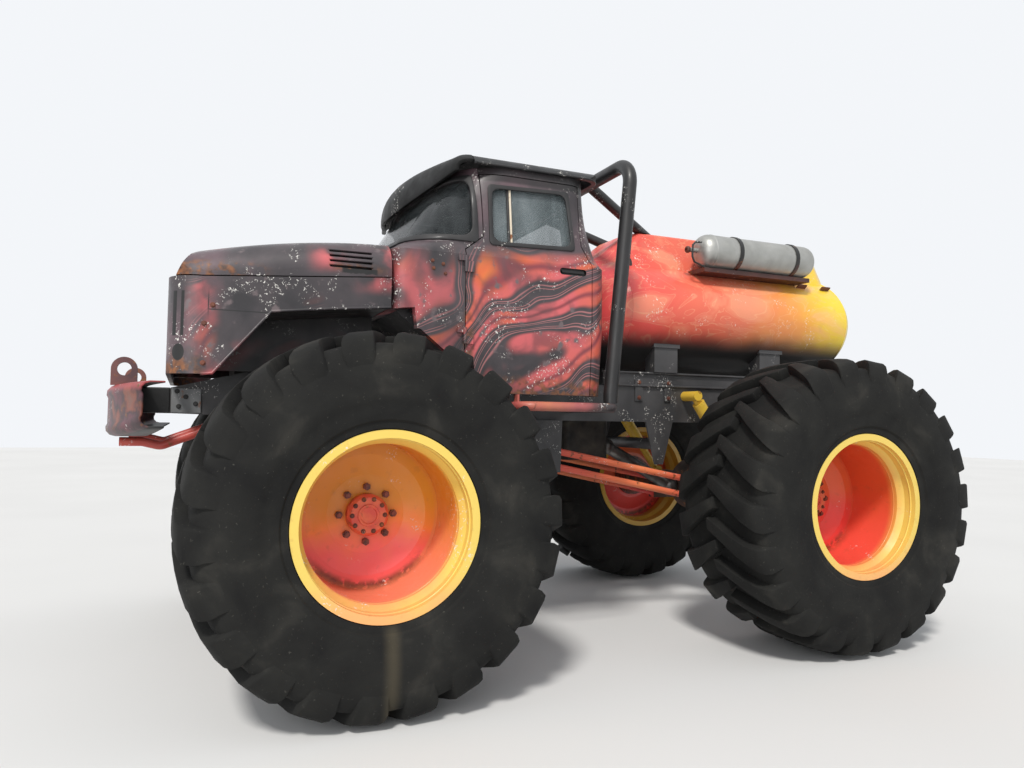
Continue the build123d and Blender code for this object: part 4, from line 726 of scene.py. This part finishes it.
def begin(name):
    """Names the piece that was just added and opens it for shaping."""
    piece = bpy.context.object
    piece.name = name
    bpy.ops.object.transform_apply(location=True, rotation=True, scale=True)
    mode("EDIT")
    bpy.ops.mesh.select_mode(type="VERT")
    return piece


def close(piece, finish, smooth=35):
    """Ends the shaping, cleans the mesh and gives it its finish."""
    pick_all()
    bpy.ops.mesh.remove_doubles(threshold=0.0001)
    bpy.ops.mesh.normals_make_consistent(inside=False)
    mode("OBJECT")
    paint(piece, finish)
    if smooth:
        bpy.ops.object.shade_smooth_by_angle(angle=radians(smooth))
    return piece


def modify(piece, kind, **settings):
    """Adds a modifier with its settings and applies it."""
    modifier = piece.modifiers.new(kind.lower(), kind)
    for key, value in settings.items():
        setattr(modifier, key, value)
    bpy.context.view_layer.objects.active = piece
    bpy.ops.object.modifier_apply(modifier=modifier.name)


def ease(piece, width, segments=2, angle=50):
    """Bevels the edges that turn by more than an angle."""
    modify(piece, "BEVEL", width=width, segments=segments, limit_method="ANGLE", angle_limit=radians(angle))


def settle(piece, body):
    """Puts the origin back at zero and makes the piece move with its body."""
    only([piece])
    bpy.ops.object.transform_apply(location=True, rotation=True, scale=True)
    piece.select_set(False)
    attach(piece, body)
    return piece


def draw_line(points):
    """Draws edges through the points, in the piece that is being shaped or else in a new one."""
    bpy.ops.mesh.primitive_plane_add(size=0.001, location=points[0])
    if bpy.context.mode == "OBJECT":
        begin("line")
    bpy.ops.mesh.merge(type="CENTER")
    for start, end in zip(points, points[1:]):
        step = [b - a for a, b in zip(start, end)]
        bpy.ops.mesh.extrude_region_move(TRANSFORM_OT_translate={"value": step})
    return bpy.context.object


def turned(name, points, centre, axis, finish, steps, smooth=35):
    """A ring turned about an axis from its section."""
    piece = draw_line(points)
    piece.name = name
    pick_all()
    bpy.ops.mesh.spin(steps=steps, angle=2 * pi, center=centre, axis=axis)
    return close(piece, finish, smooth)


def bridged(name, lines, closed=False):
    """A sheet through lines that have the same number of points, each closed to a ring if asked."""
    piece = draw_line(lines[0])
    piece.name = name
    for line in lines[1:]:
        pick_none()
        draw_line(line)
    if closed:
        pick_all()
        bpy.ops.mesh.remove_doubles(threshold=0.0001)
    bpy.ops.mesh.select_mode(type="EDGE")
    pick_all()
    bpy.ops.mesh.bridge_edge_loops()
    return piece


def thickened(piece, thickness):
    """Gives a sheet an even thickness and eased edges."""
    modify(piece, "SOLIDIFY", thickness=thickness, offset=0.0)
    ease(piece, thickness * 0.3)


def lofted(name, lines, thickness, finish, smooth=30):
    """A sheet of even thickness through the lines."""
    piece = close(bridged(name, lines), finish, smooth)
    thickened(piece, thickness)
    bpy.ops.object.shade_smooth_by_angle(angle=radians(smooth))
    return piece


def block(name, place, size, bevel, finish, tilt=0.0, pivot=None):
    """A bar or plate with eased edges, tilted sideways about a pivot if asked."""
    bpy.ops.mesh.primitive_cube_add(size=1.0, location=place)
    piece = begin(name)
    bpy.ops.transform.resize(value=size)
    if tilt:
        bpy.ops.transform.rotate(value=radians(tilt), orient_axis="Y", center_override=pivot)
    mode("OBJECT")
    modify(piece, "BEVEL", width=bevel, segments=2)
    paint(piece, finish)
    return piece


def copied(piece, name, shift=(0.0, 0.0, 0.0), mirrored=False):
    """A copy with its own mesh, mirrored across the truck's centre plane if asked, then shifted."""
    twin = piece.copy()
    twin.data = piece.data.copy()
    twin.name = name
    bpy.context.collection.objects.link(twin)
    if mirrored:
        twin.data.transform(Matrix.Scale(-1, 4, (1, 0, 0)))
        twin.data.flip_normals()
    twin.data.transform(Matrix.Translation(shift))
    return twin


def joined(pieces, name):
    """Makes one piece out of several."""
    only(pieces)
    if len(pieces) > 1:
        bpy.ops.object.join()
    pieces[0].name = name
    return pieces[0]


def both_sides(piece, left_body):
    """The piece on the truck's left, and its mirror image on the right."""
    name = piece.name
    settle(piece, left_body)
    twin = copied(piece, f"{name}_right", mirrored=True)
    piece.name = f"{name}_left"
    twin.parent = None
    settle(twin, left_body.replace("left", "right"))


def tube(name, points, radius, finish, closed=False, sides=3):
    """A round bead or wire along the points."""
    curve = bpy.data.curves.new(name, "CURVE")
    curve.dimensions = "3D"
    curve.bevel_depth = radius
    curve.bevel_resolution = sides
    curve.use_fill_caps = True
    spline = curve.splines.new("POLY")
    spline.points.add(len(points) - 1)
    for point, place in zip(spline.points, points):
        point.co = (*place, 1.0)
    spline.use_cyclic_u = closed
    wire = bpy.data.objects.new(name, curve)
    bpy.context.collection.objects.link(wire)
    only([wire])
    bpy.ops.object.convert(target="MESH")
    wire = bpy.context.object
    paint(wire, finish)
    bpy.ops.object.shade_smooth_by_angle(angle=radians(50))
    return wire


def bolts(name, spots, radius, finish):
    """Hexagon heads on washers at each place, pointing outward."""
    heads = []
    for place, outward in spots:
        bpy.ops.mesh.primitive_cylinder_add(
            vertices=6, radius=radius, depth=radius, location=(0, 0, radius * 0.8)
        )
        head = begin(name)
        bpy.ops.mesh.primitive_cylinder_add(
            vertices=14, radius=radius * 1.5, depth=radius * 0.4, location=(0, 0, radius * 0.15)
        )
        mode("OBJECT")
        ease(head, radius * 0.12, segments=1)
        head.data.transform(Vector(outward).to_track_quat("Z", "Y").to_matrix().to_4x4())
        head.data.transform(Matrix.Translation(place))
        paint(head, finish)
        heads.append(head)
    return joined(heads, name)


def side_bolts(name, x, spots, radius, finish):
    """Bolts that point to the truck's left, each at its own y and z."""
    return bolts(name, [((x, y, z), (1, 0, 0)) for y, z in spots], radius, finish)


def bend(start, corner, end, steps):
    """Points along a curve that leaves the start and reaches the end, pulled towards a corner."""
    shares = [step / steps for step in range(steps + 1)]
    return [start * (1 - t) ** 2 + corner * 2 * t * (1 - t) + end * t * t for t in shares]


def rounded(corners, radius, steps=6, spacing=0.05):
    """A closed outline with its corners rounded and its long sides divided."""
    count = len(corners)
    points = []
    for index in range(count):
        before, corner, after = (Vector(corners[(index + step) % count]) for step in (-1, 0, 1))
        inward = (before - corner).normalized()
        onward = (after - corner).normalized()
        reach = radius / tan(inward.angle(onward) / 2)
        points += bend(corner + inward * reach, corner, corner + onward * reach, steps)
    dense = []
    for index, point in enumerate(points):
        after = points[(index + 1) % len(points)]
        parts = max(1, round((after - point).length / spacing))
        dense.extend(point.lerp(after, part / parts) for part in range(parts))
    return dense


def surface(node, start, direction):
    """The first place where a line from the start meets a node of the frame."""
    found, place, _, _ = nodes[node].ray_cast(Vector(start), Vector(direction).normalized())
    assert found, node
    return place


# Finishes of the frame's own nodes
for finish, names in node_finishes.items():
    for name in names:
        paint(nodes[name], finish)

# Tyres: a turned carcass with bar lugs that run from the middle out over the shoulder
carcass_half = (
    # distance from the middle, radius
    (0.000, 0.838),
    (0.160, 0.836),
    (0.260, 0.833),
    (0.310, 0.826),
    (0.342, 0.812),
    (0.364, 0.784),
    (0.378, 0.742),
    (0.387, 0.690),
    (0.390, 0.640),
    (0.388, 0.600),
    (0.381, 0.560),
    (0.377, 0.552),
    (0.376, 0.520),
    (0.366, 0.480),
    (0.356, 0.470),
    (0.350, 0.440),
    (0.334, 0.436),
    (0.333, 0.407),
    (0.240, 0.404),
)
lug_count = 22
lug_stations = (
    # distance from the middle, turn in degrees, top radius, half width, root radius
    (-0.030, -1.2, 0.898, 0.036, 0.82),
    (0.060, 1.6, 0.898, 0.042, 0.82),
    (0.170, 5.6, 0.894, 0.051, 0.82),
    (0.270, 8.8, 0.886, 0.062, 0.80),
    (0.326, 10.4, 0.872, 0.070, 0.77),
    (0.352, 11.2, 0.854, 0.074, 0.73),
    (0.367, 11.7, 0.826, 0.074, 0.71),
    (0.375, 12.0, 0.794, 0.069, 0.70),
    (0.380, 12.2, 0.757, 0.058, 0.69),
)


def carcass(name, side, axle_y):
    profile = [(-x, r) for x, r in reversed(carcass_half)] + list(carcass_half[1:])
    points = [(side * (wheel_x + x), axle_y, hub_z + r) for x, r in profile]
    return turned(name, points, (side * wheel_x, axle_y, hub_z), (1, 0, 0), rubber_finish, 112, 30)


def lugs(name, centre):
    """One lug drawn station by station, then repeated round the outer half of a left tyre."""
    bpy.ops.mesh.primitive_plane_add(size=1.0, location=(0, 0, 0))
    piece = begin(name)
    pick_all()
    x, turn, top, half, root = lug_stations[0]
    bpy.ops.transform.rotate(value=-pi / 2, orient_axis="Y", center_override=(0, 0, 0))
    bpy.ops.transform.resize(value=(1.0, 2 * half, top - root), center_override=(0, 0, 0))
    bpy.ops.transform.translate(value=centre + Vector((x, 0, (top + root) / 2)))
    bpy.ops.transform.rotate(value=-radians(turn), orient_axis="X", center_override=centre)
    for station in lug_stations[1:]:
        next_x, next_turn, next_top, next_half, next_root = station
        bpy.ops.mesh.extrude_region_move(TRANSFORM_OT_translate={"value": (next_x - x, 0, 0)})
        bpy.ops.transform.rotate(value=radians(turn), orient_axis="X", center_override=centre)
        middle = centre + Vector((next_x, 0, (top + root) / 2))
        growth = (1.0, next_half / half, (next_top - next_root) / (top - root))
        bpy.ops.transform.resize(value=growth, center_override=middle)
        bpy.ops.transform.translate(value=(0, 0, (next_top + next_root - top - root) / 2))
        bpy.ops.transform.rotate(value=-radians(next_turn), orient_axis="X", center_override=centre)
        x, turn, top, half, root = station
    pick_all()
    bpy.ops.mesh.normals_make_consistent(inside=False)
    mode("OBJECT")
    ease(piece, 0.014, angle=35)
    mode("EDIT")
    pick_all()
    bpy.ops.mesh.spin(steps=lug_count, dupli=True, angle=2 * pi, center=centre, axis=(1, 0, 0))
    pick_all()
    bpy.ops.mesh.remove_doubles(threshold=0.0002)
    mode("OBJECT")
    paint(piece, rubber_finish)
    return piece


lug_centre = Vector((wheel_x, front_axle_y, hub_z))
spare = lugs("tyre_lugs_half", lug_centre)
for name, side, axle_y in wheels:
    tyre = carcass(f"tyre_carcass_{name}", side, axle_y)
    shift = Vector((side * wheel_x - wheel_x, axle_y - front_axle_y, 0))
    outer = copied(spare, f"outer_{name}", shift)
    inner = copied(spare, f"inner_{name}", -lug_centre)
    inner.data.transform(Matrix.Rotation(pi / lug_count, 4, "X"))
    inner.data.transform(Matrix.Scale(-1, 4, (1, 0, 0)))
    inner.data.flip_normals()
    inner.data.transform(Matrix.Translation(lug_centre + shift))
    tyre = joined([tyre, outer, inner], f"tyre_{name}_rubber")
    bpy.ops.object.shade_smooth_by_angle(angle=radians(35))
    settle(tyre, f"wheel_{name}")
    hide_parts(f"tyre_{name}")
bpy.data.objects.remove(spare)

# Wheel details: bolts and a boss ring on the hub caps, raised beads on the rims
cap_face_x = 1.146
boss_section = ((1.143, 0.056), (1.153, 0.053), (1.153, 0.042), (1.147, 0.039), (1.147, 0.004))
rim_beads = ((1.560, 0.424), (1.532, 0.3945), (1.470, 0.3935), (1.430, 0.371))


def wheel_ring(side, x, axle_y, radius, count):
    """Places round a wheel's axis."""
    turns = [2 * pi * step / count for step in range(count)]
    return [(side * x, axle_y + radius * cos(turn), hub_z + radius * sin(turn)) for turn in turns]


for name, side, axle_y in wheels:
    is_front = axle_y == front_axle_y
    hub_finish = front_hub_finish if is_front else rear_hub_finish
    rim_finish = front_rim_finish if is_front else rear_rim_finish
    spots = [(place, (side, 0, 0)) for place in wheel_ring(side, cap_face_x, axle_y, 0.082, 10)]
    settle(bolts(f"hub_cap_bolts_{name}", spots, 0.008, nut_finish), f"wheel_{name}")
    section = [(side * x, axle_y, hub_z + r) for x, r in boss_section]
    middle = (side * cap_face_x, axle_y, hub_z)
    boss = turned(f"hub_boss_{name}", section, middle, (1, 0, 0), hub_finish, 32)
    settle(boss, f"wheel_{name}")
    ridges = []
    for x, radius in rim_beads:
        ring = wheel_ring(side, x, axle_y, radius, 96)
        ridges.append(tube(f"rim_ridge_{name}", ring, 0.005, rim_finish, closed=True, sides=2))
    settle(joined(ridges, f"rim_ridges_{name}"), f"wheel_{name}")

# Windows: rubber round the glass, and the post and seal of the doors' vents
cab_levels = (
    # height, half width, front, bow of the front, corner radius, rear
    (1.533, 0.950, -1.255, 0.0, 0.09, 0.065),
    (2.300, 0.966, -1.255, 0.0, 0.09, 0.075),
    (2.370, 0.932, -1.215, 0.05, 0.29, 0.035),
    (2.850, 0.866, -0.925, 0.09, 0.29, -0.025),
)
screen_end_y = -0.771
screen_half = 1.05
screen_corners = ((-screen_half, 2.392), (screen_half, 2.392), (screen_half, 2.788), (-screen_half, 2.788))
door_window = ((-0.683, 2.382), (-0.151, 2.398), (-0.179, 2.750), (-0.683, 2.730))
rear_window = ((-0.54, 2.42), (0.54, 2.42), (0.54, 2.74), (-0.54, 2.74))
vent_y = -0.549
vent_heights = (2.395, 2.5, 2.6, 2.7, 2.735)


def cab_level(z):
    """The cab's plan at a height: half width, front, bow, corner radius, rear."""
    for low, high in zip(cab_levels, cab_levels[1:]):
        if z <= high[0]:
            break
    t = (z - low[0]) / (high[0] - low[0])
    return [a + (b - a) * t for a, b in zip(low, high)][1:]


def screen_plan(z):
    """The windscreen's line at a height, from the middle to its end on the truck's left."""
    half, front, bow, corner, _ = cab_level(z)
    straight = half - corner
    points = [Vector((straight * step / 12, front + bow * (step / 12) ** 2)) for step in range(13)]
    for step in range(1, 19):
        turn = pi / 2 * step / 18
        points.append(Vector((straight + corner * sin(turn), front + bow + corner * (1 - cos(turn)))))
    points.append(Vector((half, max(screen_end_y, points[-1].y) + 0.1)))
    kept = [point for point in points if point.y < screen_end_y]
    before, after = kept[-1], points[len(kept)]
    kept.append(before.lerp(after, (screen_end_y - before.y) / (after.y - before.y)))
    return kept


def screen_point(share, z, lift):
    """A place on the windscreen: share runs from -1 to 1 across its width."""
    line = screen_plan(z)
    lengths = [(b - a).length for a, b in zip(line, line[1:])]
    distance = abs(share) * sum(lengths)
    index = 0
    while index < len(lengths) - 1 and distance > lengths[index]:
        distance -= lengths[index]
        index += 1
    along = (line[index + 1] - line[index]).normalized()
    place = line[index] + along * distance + Vector((along.y, -along.x)) * lift
    return Vector((place.x if share >= 0 else -place.x, place.y, z))


def grown(corners, amount, radius):
    """The outline moved outward by an amount, then rounded."""
    middle = sum((Vector(corner) for corner in corners), Vector((0, 0))) / len(corners)
    moved = []
    for corner in corners:
        away = Vector(corner) - middle
        push = Vector((amount if away.x > 0 else -amount, amount if away.y > 0 else -amount))
        moved.append(Vector(corner) + push)
    return rounded(moved, radius)


def window_rubber(name, corners, place, thickness, *edges):
    """A rubber frame: each edge says how far it lies outside the corners, and its corner radius."""
    rings = []
    for amount, radius in edges:
        ring = [place(across, z) for across, z in grown(corners, amount, radius)]
        rings.append([*ring, ring[0]])
    piece = close(bridged(name, rings, closed=True), trim_finish)
    thickened(piece, thickness)
    return piece


def on_screen(across, z):
    return screen_point(across / screen_half, z, 0.003)


def on_door(y, z):
    return cab_level(z)[0] + 0.002, y, z


def on_rear_wall(x, z):
    return x, cab_level(z)[4] + 0.002, z


screen_rubber = window_rubber(
    "windscreen_rubber", screen_corners, on_screen, 0.014, (0.012, 0.03), (-0.020, 0.075)
)
settle(screen_rubber, "chassis")
door_rubber = window_rubber(
    "door_window_rubber", door_window, on_door, 0.012, (0.008, 0.03), (-0.016, 0.055)
)
both_sides(door_rubber, "door_left")
rear_rubber = window_rubber(
    "rear_window_rubber", rear_window, on_rear_wall, 0.012, (0.012, 0.08), (-0.014, 0.06)
)
settle(rear_rubber, "chassis")

vent_line = [(cab_level(z)[0] - 0.012, vent_y, z) for z in vent_heights]
both_sides(tube("vent_divider", vent_line, 0.007, divider_finish), "door_left")
seal_line = [(cab_level(z)[0] - 0.016, vent_y - 0.014, z) for z in vent_heights]
both_sides(tube("vent_seal", seal_line, 0.008, trim_finish), "door_left")

# Roof: a visor that arches over the windscreen, and a gutter round the sides and the back
visor_thickness = 0.026
visor_stations = 40
visor_start = 0.37
arch_centre = Vector((0, -0.762, 2.53))
lip_y, lip_z = -1.055, 2.685
visor_lines = []
for station in range(visor_stations + 1):
    turn = visor_start + (pi - 2 * visor_start) * station / visor_stations
    away = Vector((cos(turn), 0, sin(turn)))
    root = surface("cab_roof", arch_centre + away * 1.6, -away) - away * visor_thickness / 2
    share = abs(1 - 2 * station / visor_stations)
    lip = Vector((root.x * 0.995, lip_y + 0.19 * share ** 2.3, lip_z + 0.115 * share ** 2.2))
    lead = Vector((root.x, lip.y - 0.012, root.z - 0.006 * (1 - share)))
    visor_lines.append(bend(root, lead, lip, 12))
visor = settle(lofted("visor_arch", visor_lines, visor_thickness, visor_shaded_finish), "chassis")
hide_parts("visor")

gutter_radius = 0.12
roof_low, roof_high = (Vector(corner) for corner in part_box("cab_roof"))
gutter_x = roof_high.x + 0.003
gutter_z = roof_low.z + 0.006
gutter_line = [(gutter_x, -0.76, gutter_z), (gutter_x, -0.3, gutter_z)]
for step in range(9):
    turn = pi / 2 * step / 8
    x = gutter_x - gutter_radius * (1 - cos(turn))
    gutter_line.append((x, roof_high.y - gutter_radius * (1 - sin(turn)), gutter_z))
gutter_line += [(-x, y, z) for x, y, z in reversed(gutter_line)]
settle(tube("roof_gutter", gutter_line, 0.007, roof_finish), "chassis")

# Hood: pressed lips over the louvres, and a near-black box behind them as painted shade in their slots
louvre_count = 4
louvre_pitch = 0.028
lips = []
for index in range(louvre_count):
    z = louvre_z + (index - (louvre_count - 1) / 2) * louvre_pitch + 0.009
    line = [surface("hood", (1.3, y, z), (-1, 0, 0)) for y in (-1.592, -1.54, -1.48, -1.42, -1.362)]
    lips.append(tube(f"louvre_lip_{index}", line, 0.0045, hood_finish))
both_sides(joined(lips, "louvre_lips"), "hood")

shade_box_place = (0.90, louvre_y, 2.19)
bpy.ops.mesh.primitive_cube_add(size=1.0, location=shade_box_place)
louvre_shade_box = begin("louvre_shade_box")
bpy.ops.transform.resize(value=(0.05, 0.27, 0.14), center_override=shade_box_place)
bpy.ops.mesh.select_mode(type="FACE")
pick_none()
mode("OBJECT")
for polygon in louvre_shade_box.data.polygons:
    polygon.select = polygon.normal.x > 0.9
mode("EDIT")
bpy.ops.mesh.inset(thickness=0.006)
bpy.ops.mesh.extrude_region_move(TRANSFORM_OT_translate={"value": (-0.035, 0, 0)})
both_sides(close(louvre_shade_box, strap_finish, 0), "hood")

# Bumper: a rolled channel with swept ends, on arms from the rails
bumper_stations = 44
bumper_lines = []
for station in range(bumper_stations + 1):
    x = bumper_half * (station / (bumper_stations / 2) - 1)
    share = abs(x) / bumper_half
    y = bumper_front_y + bumper_sweep * share ** bumper_bend + 0.005
    low = 1.270 + 0.055 * share ** 4
    high = 1.530 + 0.012 * share ** 2
    depth = 0.20 - 0.09 * share ** 2
    upper_half = (
        # how far behind the face, how far under the top
        (depth, 0.0), (0.045, 0.0), (0.022, 0.006), (0.006, 0.024), (0.004, 0.045), (0.012, 0.060),
    )
    section = [(out, high - drop) for out, drop in upper_half]
    section += [(out, low + drop) for out, drop in reversed(upper_half)]
    bumper_lines.append([Vector((x, y + out, z)) for out, z in section])
bumper_parts = [lofted("bumper_channel", bumper_lines, 0.010, bumper_finish, 40)]
for side in (1, -1):
    place = (side * 0.394, -2.466, rail_z)
    bumper_parts.append(block("bumper_arm", place, (0.076, 0.282, 0.138), 0.006, bumper_finish))
bumper = settle(joined(bumper_parts, "bumper_channel"), "chassis")
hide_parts("front_bumper")

# Rails: a drilled plate on each front end
plate = block("rail_end_plate", (0.440, -2.245, rail_z), (0.012, 0.15, 0.134), 0.004, plate_finish)
# The plate's holes are dark shapes on it: painted shade inside them
hole_spots = ((-2.292, 1.512), (-2.248, 1.482), (-2.282, 1.430), (-2.198, 1.445))
holes = side_bolts("plate_holes", 0.444, hole_spots, 0.009, strap_finish)
both_sides(joined([plate, holes], "rail_end_plate"), "chassis")

# Fenders: rolled edge round the wheel opening, and bolts on the nose
lip_spots = ((-1.262, 1.972), (-1.582, 1.943), (-1.868, 1.910), (-2.137, 1.590), (-2.190, 1.585))
lip_line = [(0.966, y, z) for y, z in lip_spots]
both_sides(tube("fender_lip", lip_line, 0.008, fender_finish), "chassis")
nose_spots = ((-2.143, 1.921), (-2.180, 1.829), (-2.180, 1.637))
both_sides(side_bolts("nose_bolts", 0.969, nose_spots, 0.009, nut_finish), "chassis")

# Cowl: the bolts that are left of a mirror's bracket
mirror_spots = ((-1.036, 2.246), (-1.030, 2.205), (-0.975, 2.232), (-0.962, 2.180))
both_sides(side_bolts("mirror_bolts", 0.968, mirror_spots, 0.007, nut_finish), "chassis")

# Tank: weld beads where the domes meet the barrel, and the raised spine
for label, seam_y in (("front", 0.484), ("rear", 2.381)):
    ring = []
    for step in range(72):
        turn = 2 * pi * step / 72
        away = Vector((cos(turn), 0, sin(turn)))
        ring.append(surface("tank", Vector((0, seam_y, tank_z)) + away * 1.2, -away))
    weld = tube(f"tank_weld_{label}", ring, 0.004, tank_finish, closed=True, sides=2)
    settle(weld, "chassis")
spine_rings = []
for z, left_half in (
    # height, and the outline's left half from front to rear
    (2.43, ((0.20, 0.262), (0.382, 0.50), (0.382, 2.34), (0.20, 2.57))),
    (2.745, ((0.19, 0.655), (0.272, 0.72), (0.272, 2.30), (0.19, 2.405))),
):
    right_half = [(-x, y) for x, y in reversed(left_half)]
    outline = [*left_half[1:], *right_half, left_half[0], left_half[1]]
    spine_rings.append([(x, y, z) for x, y in outline])
spine = bridged("tank_spine_sheet", spine_rings, closed=True)
pick_all()
bpy.ops.mesh.fill_holes(sides=8)
close(spine, tank_finish, 30)
ease(spine, 0.02, segments=3, angle=15)
settle(spine, "chassis")
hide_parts("tank_spine")

# Tank: two short brackets left beside the spine
brackets = []
for bracket_y in (2.067, 2.300):
    spot = surface("tank", (0.44, bracket_y, 3.0), (0, 0, -1))
    place = spot + Vector((0.01, 0, 0.006))
    brackets.append(block("tank_bracket", place, (0.05, 0.085, 0.010), 0.003, nut_finish, 38, spot))
settle(joined(brackets, "tank_brackets"), "chassis")

# Frame: flanges along the beams, and plates bolted over the joint
beam_front_y, beam_rear_y = 0.34, 2.20
flange_parts = []
for z in (1.722, 1.634):
    place = (0.436, (beam_front_y + beam_rear_y) / 2, z)
    size = (0.034, beam_rear_y - beam_front_y, 0.013)
    flange_parts.append(block("beam_flange", place, size, 0.003, frame_finish))
for plate_y in (0.62, 0.86, 1.52):
    place = (0.438, plate_y, 1.60)
    flange_parts.append(block("beam_plate", place, (0.014, 0.06, 0.15), 0.004, frame_finish))
    spots = ((plate_y, 1.55), (plate_y, 1.655))
    flange_parts.append(side_bolts("plate_bolts", 0.445, spots, 0.010, nut_finish))
both_sides(joined(flange_parts, "beam_flanges"), "chassis")

# Gas cylinder: a valve with its hand wheel, a guard in front of it, and a collar
cylinder_x, cylinder_z = 0.51, 2.6
collar_y = 1.145


def on_cylinder(name, section, middle_y, finish, steps):
    """A ring turned about the cylinder's axis from its section of y and radius."""
    points = [(cylinder_x, y, cylinder_z + r) for y, r in section]
    piece = turned(name, points, (cylinder_x, middle_y, cylinder_z), (0, 1, 0), finish, steps)
    settle(piece, "chassis")


knob_section = (
    (0.985, 0.012), (0.982, 0.020), (0.975, 0.024), (0.962, 0.024), (0.956, 0.019), (0.954, 0.008),
)
on_cylinder("valve_wheel", knob_section, 0.97, nut_finish, 20)
guard_line = [
    (cylinder_x + 0.07, 1.035, 2.645),
    (cylinder_x + 0.065, 0.985, 2.640),
    (cylinder_x + 0.06, 0.968, 2.62),
    (cylinder_x + 0.06, 0.965, 2.54),
    (cylinder_x + 0.055, 0.985, 2.505),
    (cylinder_x + 0.05, 1.05, 2.485),
    (cylinder_x + 0.04, 1.11, 2.474),
]
settle(tube("valve_guard", guard_line, 0.007, strap_finish), "chassis")
collar_half = ((-0.012, 0.1195), (-0.005, 0.1225), (0.005, 0.1225), (0.012, 0.1195))
collar_section = [(collar_y + y, r) for y, r in collar_half]
on_cylinder("cylinder_collar", collar_section, collar_y, cylinder_finish, 48)

# Floor and surroundings: seen white by the camera, dimmer as light
bpy.ops.mesh.primitive_plane_add(size=60, location=(0, 0, -0.002))
floor = bpy.context.object
floor.name = "studio_floor"
floor_finish = Finish("studio_floor", roughness=0.8)
floor_finish.colour(floor_finish.blend(floor_finish.noise(3.0), ((0.70, 0.70, 0.70), (0.74, 0.74, 0.74))))
floor.data.materials.append(floor_finish.material)

world = bpy.data.worlds.new("studio")
bpy.context.scene.world = world
world.use_nodes = True
sky = world.node_tree
sky.nodes.clear()
sky_output, sky_mix, sky_path, sky_seen, sky_light, sky_any, sky_more = (
    sky.nodes.new(f"ShaderNode{kind}")
    for kind in ("OutputWorld", "MixShader", "LightPath", "Background", "Background", "Math", "Math")
)
sky_any.operation = "MAXIMUM"
sky_more.operation = "MAXIMUM"
sky_seen.inputs["Color"].default_value = (0.90, 0.92, 0.95, 1.0)
sky_seen.inputs["Strength"].default_value = 1.0
sky_light.inputs["Color"].default_value = (0.94, 0.97, 1.0, 1.0)
sky_light.inputs["Strength"].default_value = 0.55
for source, target in (
    (sky_path.outputs["Is Camera Ray"], sky_any.inputs[0]),
    (sky_path.outputs["Is Transmission Ray"], sky_any.inputs[1]),
    (sky_any.outputs[0], sky_more.inputs[0]),
    (sky_path.outputs["Is Glossy Ray"], sky_more.inputs[1]),
    (sky_more.outputs[0], sky_mix.inputs[0]),
    (sky_light.outputs[0], sky_mix.inputs[1]),
    (sky_seen.outputs[0], sky_mix.inputs[2]),
    (sky_mix.outputs[0], sky_output.inputs[0]),
):
    sky.links.new(source, target)

# Lamps
bpy.ops.object.light_add(type="SUN", location=(4, -4, 8))
sun = bpy.context.object
sun.name = "key_lamp"
sun.data.energy = 2.6
sun.data.angle = radians(9)
sun.data.color = (1.0, 0.97, 0.92)
sun.rotation_euler = Vector((0.55, -0.38, 0.78)).to_track_quat("Z", "Y").to_euler()
bpy.ops.object.light_add(type="AREA", location=(7.5, -6.0, 3.0))
fill = bpy.context.object
fill.name = "fill_lamp"
fill.data.energy = 170
fill.data.size = 5.0
fill.rotation_euler = Vector((7.5, -6.0, 1.2)).to_track_quat("Z", "Y").to_euler()

# The camera that was fitted to the photograph
yaw = radians(23.14)
pitch = radians(2.61)
roll = radians(0.877)
forward = Vector((-cos(yaw) * cos(pitch), sin(yaw) * cos(pitch), sin(pitch)))
level = forward.cross(Vector((0, 0, 1))).normalized()
upright = level.cross(forward)
right = cos(roll) * level + sin(roll) * upright
up = cos(roll) * upright - sin(roll) * level
bpy.ops.object.camera_add(location=(4.964, -2.263, 1.389))
camera = bpy.context.object
camera.name = "photo_camera"
camera.data.sensor_width = 36
camera.data.lens = 27.06
camera.rotation_euler = Matrix((right, up, -forward)).transposed().to_euler()
bpy.context.scene.camera = camera
bpy.context.scene.view_settings.view_transform = "Standard"
